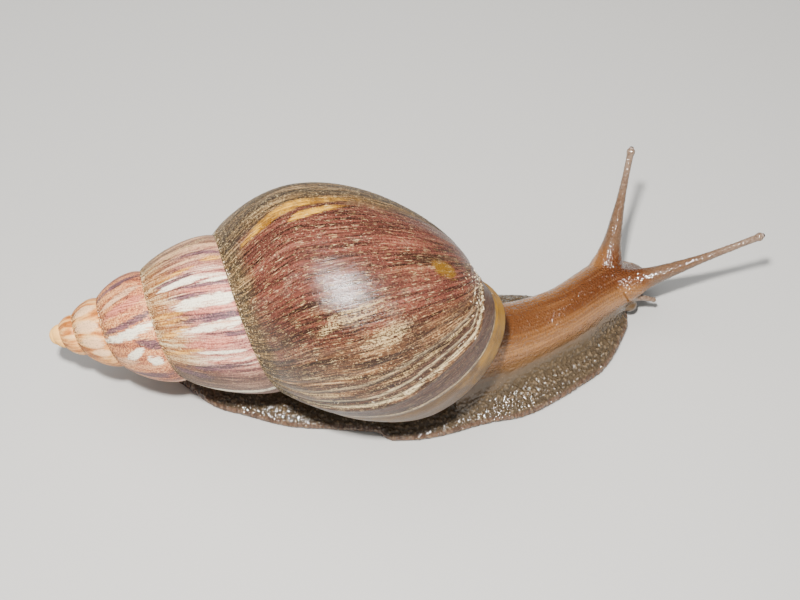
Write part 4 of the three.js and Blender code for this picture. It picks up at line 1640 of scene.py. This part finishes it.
    def united(self) -> bpy.types.Object:
        """All the forms as one closed skin of small even faces."""
        forms = [self.foot(), self.neck(), self.stalk(), self.flank()]
        for side in Side:
            forms.append(ball_at(MOUTH_LOBES[side], self.lobe_radii, self.head_heading))
            for tentacle in (UPPER_TENTACLES[side], LOWER_TENTACLES[side]):
                forms += [tentacle.mesh(), tentacle.bulb_mesh()]
        rough = object_from("snail_skin", joined(forms))
        remesh = rough.modifiers.new("even", "REMESH")
        remesh.mode = "VOXEL"
        remesh.voxel_size = self.voxel * MM
        graph = bpy.context.evaluated_depsgraph_get()
        even = bpy.data.meshes.new_from_object(rough.evaluated_get(graph))
        rough.modifiers.clear()
        old = rough.data
        rough.data = even
        bpy.data.meshes.remove(old)
        return rough

    def fields(self, points: Array) -> dict[str, Array]:
        """What each point of the skin belongs to and where it lies there."""
        t, foot_along, foot_across = self.foot_spine.placed(points)
        near, far, back = self.foot_widths(t)
        width = np.where(foot_across < 0, near, far)
        share = np.clip(np.abs(foot_across) / width, 0, 1)
        dome = self.edge + (back - self.edge) * self.dome(share)
        n, neck_along, neck_across = self.neck_spine.placed(points)
        top, half = self.neck_spine.column(2, n).T
        bottom = self.neck_spine.column(4, n)[:, 0]
        lift = 2 * (points[:, 2] - bottom) / (top - bottom) - 1
        angle = np.arctan2(lift, neck_across / half)
        return {
            "foot_along": foot_along,
            "foot_across": foot_across,
            "margin": width - np.abs(foot_across),
            "rise": points[:, 2] - dome,
            "neck_along": neck_along,
            "neck_angle": angle,
            "neck_share": (points[:, 2] - bottom) / (top - bottom),
        }

    def thinned(self, points: Array) -> tuple[Array, dict[str, Array]]:
        """Points on the tentacles put back on their true round, with the tentacles' fields."""
        mask = np.zeros(len(points))
        along = np.zeros(len(points))
        angle = np.zeros(len(points))
        upper = np.zeros(len(points))
        for tentacles, sort in ((UPPER_TENTACLES, 1.0), (LOWER_TENTACLES, 0.0)):
            for tentacle in tentacles.values():
                corners = np.array((tentacle.base, tentacle.tip))
                reach = max(tentacle.radii) + 0.5
                low, high = corners.min(axis=0) - reach, corners.max(axis=0) + reach
                close = np.flatnonzero(np.all((points > low) & (points < high), axis=1))
                moves, u, away, round_at = tentacle.drawn_on(points[close])
                fits = (np.abs(away) < 0.1 + 0.25 * tentacle.radius(u)) & (u > 0.0)
                close, u, moves, round_at = close[fits], u[fits], moves[fits], round_at[fits]
                points[close] += moves * eased((u - 0.22) / 0.16)[:, None]
                mask[close] = np.maximum(mask[close], eased((u - 0.06) / 0.25))
                along[close] = u * tentacle.length()
                angle[close] = round_at
                upper[close] = sort * u
        return points, {"tentacle": mask, "stalk_along": along, "stalk_angle": angle, "stalk_at": upper}

    def sculpted(self, data: bpy.types.Mesh) -> dict[str, Array]:
        """Smooths the skin, then models its folds, furrows and warts.

        Args:
            data: The even skin.

        Returns:
            The fields of each vertex.
        """
        points = points_of(data)
        found = self.fields(points)
        _, limbs = self.thinned(points.copy())
        whole = 0.5 * (1 - limbs["tentacle"])
        above = eased(points[:, 2] / 0.5)
        points = relaxed(data, points, whole * (0.3 + 0.7 * above), 4)
        crease = bell(found["rise"], 0.8, 2.4) * eased((found["margin"] - 3.0) / 3.0) * above
        collar = (points - self.rim(8).mean(axis=0)) @ self.shell.law.growing()
        crease *= eased((collar - 4.0) / 4.0)
        points = relaxed(data, points, 0.5 * crease * (1 - limbs["tentacle"]), 60)
        root = bell(limbs["stalk_at"], 0.12, 0.12) * limbs["tentacle"]
        points = relaxed(data, points, 0.45 * np.clip(root * 3, 0, 1), 12)
        points, limbs = self.thinned(points)
        points[:, 2] = np.where(points[:, 2] < 0.12, 0.0, points[:, 2])
        set_points(data, points)
        normals = normals_of(data)
        found = {**self.fields(points), **limbs}
        found["collar"] = collar
        found["wart"] = self.warts(points, found)
        points = points + normals * self.relief(points, found)[:, None]
        points[:, 2] = np.maximum(points[:, 2], 0.0)
        set_points(data, points)
        return found

    def rim(self, third: int) -> Array:
        """The smooth shell's rim, with a number of points on each third: shoulder, base and parietal wall."""
        part = np.arange(third) / third
        turn = np.concatenate([np.full(2 * third, 7.0), np.full(third, 6.0)])
        return self.shell.law.place(turn, np.concatenate([part, 1 + part, 2 - part]))

    def warts(self, points: Array, found: dict[str, Array]) -> Array:
        """The height of the warts, from 0 in the grooves to 1 on top."""
        grain = Grain(11)
        flat = np.zeros(len(points))
        neck = np.stack([found["neck_along"] / 2.3, found["neck_angle"] * self.neck_round, flat], -1)
        return mixed(grain.warts(points / 1.15), grain.warts(neck + 40.0), self.neck_share(found))

    def neck_share(self, found: dict[str, Array]) -> Array:
        """How much a point belongs to the neck and head rather than the foot."""
        return eased((found["rise"] - 0.6) / 3.0) * eased((found["collar"] - 2.0) / 3.0)

    def warty(self, grain: Grain, points: Array, found: dict[str, Array]) -> Array:
        """The warts, tallest in clusters on the foot's side and low on the neck."""
        share = self.neck_share(found)
        cluster = eased((grain.noise(points[:, :2] / 5.0 + 3.0) - 0.30) / 0.35)
        granular = bell(found["margin"], 3.6, 4.0) * (1 - share) * (0.45 + 0.75 * cluster)
        return self.wart * (found["wart"] - 0.5) * mixed(0.18 + 1.1 * granular, 0.42, share)

    def furrowed(self, grain: Grain, found: dict[str, Array]) -> Array:
        """The furrows along the neck."""
        around = found["neck_angle"] * self.neck_round
        grooves = grain.layered(np.stack([around / 0.95, found["neck_along"] / 16.0], -1), 2) - 0.5
        return 2 * self.furrow * grooves * self.neck_share(found)

    def folded(self, grain: Grain, points: Array, found: dict[str, Array]) -> Array:
        """The folds along the foot's back, and the fine pleats of its margin."""
        along, across, margin = found["foot_along"], found["foot_across"], found["margin"]
        folds = grain.layered(np.stack([across / 3.2, along / 13.0], -1) + 9, 2) - 0.5
        pleats = np.sin(2 * math.pi * (along / 0.95 + 1.2 * grain.noise(points[:, :2] / 3.0)))
        height = self.fold * folds * eased((margin - 2.0) / 3.0)
        return (height + self.pleat * pleats * bell(margin, 0.6, 1.0)) * (1 - self.neck_share(found))

    def beaded(self, grain: Grain, found: dict[str, Array]) -> Array:
        """The beads of the tentacles, which end short of their bulbs."""
        flat = np.zeros(len(found["stalk_at"]))
        beads = grain.warts(np.stack([found["stalk_along"] / 0.8, found["stalk_angle"] * 1.7, flat], -1))
        ending = 1 - eased((found["stalk_at"] - 0.84) / 0.05)
        return self.stalk_bead * (beads - 0.6) * found["tentacle"] * ending

    def gaping(self, points: Array) -> Array:
        """The slit of the mouth and the lips over it."""
        gape = points - np.array(self.mouth)
        heading = np.array((math.cos(self.head_heading), math.sin(self.head_heading), 0.0))
        side = np.array((-heading[1], heading[0], 0.0))
        rise, near = gape[:, 2], bell(gape @ heading, 0.0, 2.2)
        slit = bell(gape @ side, 0.0, 2.6) * bell(rise, 0.0, 0.45)
        lips = bell(gape @ side, 0.0, 2.4) * bell(rise, 1.1, 0.5)
        return (self.lips * lips - self.mouth_slit * slit) * near

    def relief(self, points: Array, found: dict[str, Array]) -> Array:
        """How far the skin stands out from its smooth form."""
        grain = Grain(13)
        height = self.warty(grain, points, found) + self.furrowed(grain, found)
        height *= 1 - found["tentacle"]
        height += self.folded(grain, points, found) + self.beaded(grain, found) + self.gaping(points)
        height += self.collar_ridge * bell(found["collar"], 1.2, 0.7)
        height -= self.collar_groove * bell(found["collar"], 2.6, 0.5)
        return height * eased(points[:, 2] / 0.6)

    def build(self, finish: bpy.types.Material) -> bpy.types.Object:
        """Makes the skin and dresses it."""
        made = self.united()
        found = self.sculpted(made.data)
        data = made.data
        share = self.neck_share(found)
        set_field(data, "belongs", np.stack([share, found["tentacle"], found["stalk_at"]], -1))
        height = np.clip(found["neck_share"], 0, 1.2)
        set_field(data, "lie", np.stack([found["neck_along"], found["neck_angle"], height], -1))
        set_field(data, "spread", np.stack([found["foot_along"], found["foot_across"], found["margin"]], -1))
        set_field(data, "stalk", np.stack([found["stalk_along"], found["stalk_angle"], found["collar"]], -1))
        set_field(data, "wart", found["wart"])
        data.polygons.foreach_set("use_smooth", np.ones(len(data.polygons), bool))
        upper = [f"upper_tentacle_{side.word}_{part}" for side in Side for part in ("base", "middle", "tip")]
        dressed(made, finish, [*FLESH_NODES, *upper])
        return made


@dataclass
class Eye:
    """The eye on the end of an upper tentacle."""

    side: Side
    radius: float = 0.6
    bulge: float = 0.5
    lift: float = 0.04

    def build(self, finish: bpy.types.Material) -> bpy.types.Object:
        """Makes the eye as a low dome whose underside sits in the skin."""
        tentacle = UPPER_TENTACLES[self.side]
        end = np.array([1.0])
        ahead = Vector(tentacle.ahead(end)[0])
        place = Vector(tentacle.path(end)[0]) + ahead * self.lift
        ball = bmesh.new()
        bmesh.ops.create_uvsphere(ball, u_segments=32, v_segments=24, radius=1.0)
        core = [1.0 - max(0.0, vert.co.z) for vert in ball.verts]
        bmesh.ops.scale(ball, vec=(self.radius, self.radius, self.bulge), verts=ball.verts)
        turn = ahead.to_track_quat("Z", "Y").to_matrix()
        bmesh.ops.rotate(ball, cent=(0, 0, 0), matrix=turn, verts=ball.verts)
        bmesh.ops.translate(ball, vec=place, verts=ball.verts)
        bmesh.ops.scale(ball, vec=(MM, MM, MM), verts=ball.verts)
        made = object_from(f"snail_eye_{self.side.word}", ball)
        set_field(made.data, "core", np.array(core))
        dressed(made, finish, [f"eye_{self.side.word}"])
        return made


# ---------------------------------------------------------------- flesh: finish


@dataclass(frozen=True)
class SkinFinish:
    """The wet skin: an orange-brown neck over a grey-brown foot with a granular side and a pink margin."""

    # The dark back: the skin's own colour, also used as painted shade on the back turned from the key lamp.
    dorsal_and_shade: Colour = (0.076, 0.021, 0.004)
    orange: Colour = (0.272, 0.120, 0.034)
    pale_line: Colour = (0.380, 0.190, 0.080)
    flank: Colour = (0.082, 0.042, 0.012)
    under_neck: Colour = (0.085, 0.052, 0.026)
    grey: Colour = (0.070, 0.047, 0.023)
    granular: Colour = (0.062, 0.043, 0.025)
    # Painted shade for the grooves between the foot's warts.
    groove: Colour = (0.022, 0.015, 0.008)
    margin: Colour = (0.130, 0.074, 0.046)
    margin_dark: Colour = (0.060, 0.034, 0.022)
    tentacle: Colour = (0.125, 0.068, 0.036)
    tentacle_dark: Colour = (0.060, 0.030, 0.018)
    tip: Colour = (0.200, 0.135, 0.095)
    mantle: Colour = (0.240, 0.150, 0.070)
    fleck: Colour = (0.300, 0.220, 0.140)
    # Pale bead tops: partly the granules' own colour, partly painted glints of the wet skin.
    pearl_and_glint: Colour = (0.340, 0.240, 0.140)
    spine_angle: float = 1.80
    relief_depth: float = 0.22

    def topside(self, paint: Paint, along: Socket, angle: Socket, lines: Socket) -> Socket:
        """The orange neck, dark along the spine and darker towards the head, with fine lines along it. The
        dark back is partly the skin's own colour and partly painted shade where the neck turns from the key
        lamp, and the lighter near side and root by the shell are partly painted light.
        """
        # The dark back band: the skin's own dark back with painted shade over it. It is weaker by the shell,
        # where painted light stands in for the lamp on the root.
        back = (angle - self.spine_angle).size().step(1.00, 0.25)
        back = back * (0.80 + along.step(26.0, 50.0) * 0.20)
        top = paint.mix(back, self.orange, self.dorsal_and_shade)
        top = paint.mix(lines.step(0.56, 0.44) * 0.42, top, self.dorsal_and_shade)
        return paint.mix(lines.step(0.54, 0.66) * 0.13, top, self.pale_line)

    def underside(self, paint: Paint, neck: Socket, lines: Socket, beaded: Socket) -> Socket:
        """The grey-brown flanks and foot, with painted shade in the grooves between the foot's warts."""
        low = paint.mix(neck, self.grey, self.flank)
        low = paint.mix(lines.step(0.57, 0.42) * neck * 0.35, low, self.grey)
        low = paint.mix(beaded, low, self.granular)
        # Painted shade in the grooves between the warts, strongest in the granular band.
        grooves = paint.value_field("wart").step(0.5, 0.05) * (0.08 + beaded * 0.37)
        return paint.mix(grooves, low, self.groove)

    def material(self) -> bpy.types.Material:
        """Builds the finish."""
        paint = Paint("wet_skin")
        spot = paint.spot()
        neck, limb, limb_at = paint.parts(paint.vector_field("belongs"))
        lie = paint.vector_field("lie")
        along, angle, height = paint.parts(lie)
        spread = paint.vector_field("spread")
        margin = paint.parts(spread)[2]
        collar = paint.parts(paint.vector_field("stalk"))[2]
        up = paint.parts(spot)[2]
        grit = paint.noise(spot, 1.9, 3.0, 0.6)
        patch = paint.noise(spot, 0.25, 3.0)
        lines = paint.streaks(lie, 0.07, 8.5, detail=4.0, roughness=0.6)
        rays = paint.streaks(spread, 1.4, 0.06)

        warm = height.strayed(patch, 0.16).step(0.26, 0.62) * neck
        beaded = margin.step(11.0, 4.0) * (1.0 - neck) * (0.4 + patch).least(1.0)
        top = self.topside(paint, along, angle, lines)
        colour = paint.mix(warm, self.underside(paint, neck, lines, beaded), top)
        colour = paint.mix(up.step(8.5, 5.5) * neck * 0.75, colour, self.under_neck)
        rim = margin.strayed(rays, 1.4).step(1.25, 0.55) * (1.0 - neck)
        edging = paint.mix(rays.step(0.42, 0.60), self.margin_dark, self.margin)
        colour = paint.mix(rim * 0.9, colour, edging)
        stem = paint.mix(limb_at.step(0.45, 0.97).most(up.step(10.0, 7.0)), self.tentacle, self.tip)
        stem = paint.mix(grit.step(0.55, 0.40) * 0.45, stem, self.tentacle_dark)
        colour = paint.mix(limb.step(0.1, 0.9), colour, stem)
        colour = paint.mix(collar.step(2.6, 2.0) * 0.85, colour, self.mantle)
        colour = paint.mix(grit.step(0.60, 0.72) * 0.20, colour, self.fleck)

        dots = paint.beads(spot, 2.1, 0.12)
        beads = paint.beads(spot, 1.25, 0.10)
        beady = (limb * 0.45).most(warm * (1.0 - limb) * (0.70 + (patch - 0.5) * 0.6))
        # Paler tops on the beads and dots: partly the granules' own colour, partly painted glints of the wet
        # skin.
        pearly_and_glints = beads.step(0.55, 0.95) * beaded * 0.28 + dots.step(0.6, 0.95) * beady * 0.07
        colour = paint.mix(pearly_and_glints, colour, self.pearl_and_glint)
        rough = 0.09 + (grit - 0.5) * 0.10 + (1.0 - dots) * 0.08
        bumps = dots * (0.08 + beady * 0.75 + beaded * 0.3) + beads * beaded * 0.95
        bumps = bumps + grit * 0.06 + lines * neck * 0.05
        return paint.finish(
            Base_Color=colour,
            Roughness=rough.most(0.07),
            Normal=paint.relief(bumps, self.relief_depth),
            IOR=1.50,
            Specular_IOR_Level=0.68,
        )


@dataclass(frozen=True)
class EyeFinish:
    """A glossy eye: a dark core under a clear grey rim."""

    core: Colour = (0.018, 0.012, 0.010)
    rim: Colour = (0.240, 0.180, 0.150)

    def material(self) -> bpy.types.Material:
        """Builds the finish."""
        paint = Paint("glossy_eye")
        away = paint.value_field("core")
        speckle = paint.noise(paint.spot(), 3.0, 2.0)
        colour = paint.mix(away.strayed(speckle, 0.2).step(0.22, 0.55), self.core, self.rim)
        return paint.finish(Base_Color=colour, Roughness=0.08, Coat_Weight=0.6, Coat_Roughness=0.04, IOR=1.45)


# ---------------------------------------------------------------- studio


@dataclass(frozen=True)
class Lamp:
    """A square light that faces the animal. glints says whether glossy surfaces mirror it."""

    name: str
    place: tuple[float, float, float]
    size: float
    power: float
    colour: Colour
    glints: bool


@dataclass
class Studio:
    """The pale floor, the soft lights and the camera. Lengths are in metres."""

    target: tuple[float, float, float] = (0.0, 0.010, 0.016)
    elevation: float = math.radians(52.0)
    distance: float = 0.33222
    focal_length: float = 65.0
    sensor: float = 36.0
    nearest: float = 0.01
    floor_size: float = 3.0
    floor_drop: float = 0.0001
    floor_colour: Colour = (0.46, 0.455, 0.44)
    room_colour: Colour = (0.85, 0.87, 0.90)
    room_light: float = 0.24
    lamps: tuple[Lamp, ...] = (
        Lamp("key", (-0.03, -0.16, 0.36), 0.024, 4.2, (1.0, 0.97, 0.93), True),
        Lamp("sky", (-0.25, 0.10, 0.60), 0.70, 3.6, (1.0, 1.0, 1.0), False),
        Lamp("fill", (0.45, -0.35, 0.25), 0.40, 1.2, (1.0, 0.98, 0.95), False),
    )

    def camera(self) -> None:
        """Places the camera above the animal's right side."""
        data = bpy.data.cameras.new("camera")
        data.lens = self.focal_length
        data.sensor_width = self.sensor
        data.clip_start = self.nearest
        made = bpy.data.objects.new("camera", data)
        back = Vector((0.0, -math.cos(self.elevation), math.sin(self.elevation)))
        made.location = Vector(self.target) + back * self.distance
        made.rotation_euler = (-back).to_track_quat("-Z", "Y").to_euler()
        bpy.context.scene.collection.objects.link(made)
        bpy.context.scene.camera = made

    def light(self, lamp: Lamp) -> None:
        """Hangs a lamp and turns it to the animal."""
        data = bpy.data.lights.new(lamp.name, "AREA")
        data.size = lamp.size
        data.energy = lamp.power
        data.color = lamp.colour
        made = bpy.data.objects.new(lamp.name, data)
        made.location = lamp.place
        made.visible_glossy = lamp.glints
        facing = Vector(self.target) - Vector(lamp.place)
        made.rotation_euler = facing.to_track_quat("-Z", "Y").to_euler()
        bpy.context.scene.collection.objects.link(made)

    def floor(self) -> None:
        """Lays the pale floor under the sole."""
        grid = bmesh.new()
        bmesh.ops.create_grid(grid, x_segments=1, y_segments=1, size=self.floor_size)
        bmesh.ops.translate(grid, verts=grid.verts, vec=(0.0, 0.0, -self.floor_drop))
        made = object_from("floor", grid)
        paint = Paint("pale_floor")
        made.data.materials.append(paint.finish(Base_Color=self.floor_colour, Roughness=0.85))

    def build(self) -> None:
        """Makes the studio."""
        self.camera()
        self.floor()
        for lamp in self.lamps:
            self.light(lamp)
        world = bpy.data.worlds.new("room")
        world.use_nodes = True
        background = world.node_tree.nodes["Background"].inputs
        background[0].default_value = (*self.room_colour, 1.0)
        background[1].default_value = self.room_light
        bpy.context.scene.world = world
        LOG.info("studio: camera, floor and %d lights", len(self.lamps))


def main() -> None:
    """Builds the studio and the animal."""
    logging.basicConfig(level=logging.INFO, format="%(name)s: %(message)s")
    Studio().build()
    shell = Shell(GrowthLaw())
    shell.build(ShellFinish().material())
    Fibres(shell).build(FibreFinish().material())
    Skin(shell).build(SkinFinish().material())
    eye_finish = EyeFinish().material()
    for side in Side:
        Eye(side).build(eye_finish)


if __name__ == "__main__":
    main()
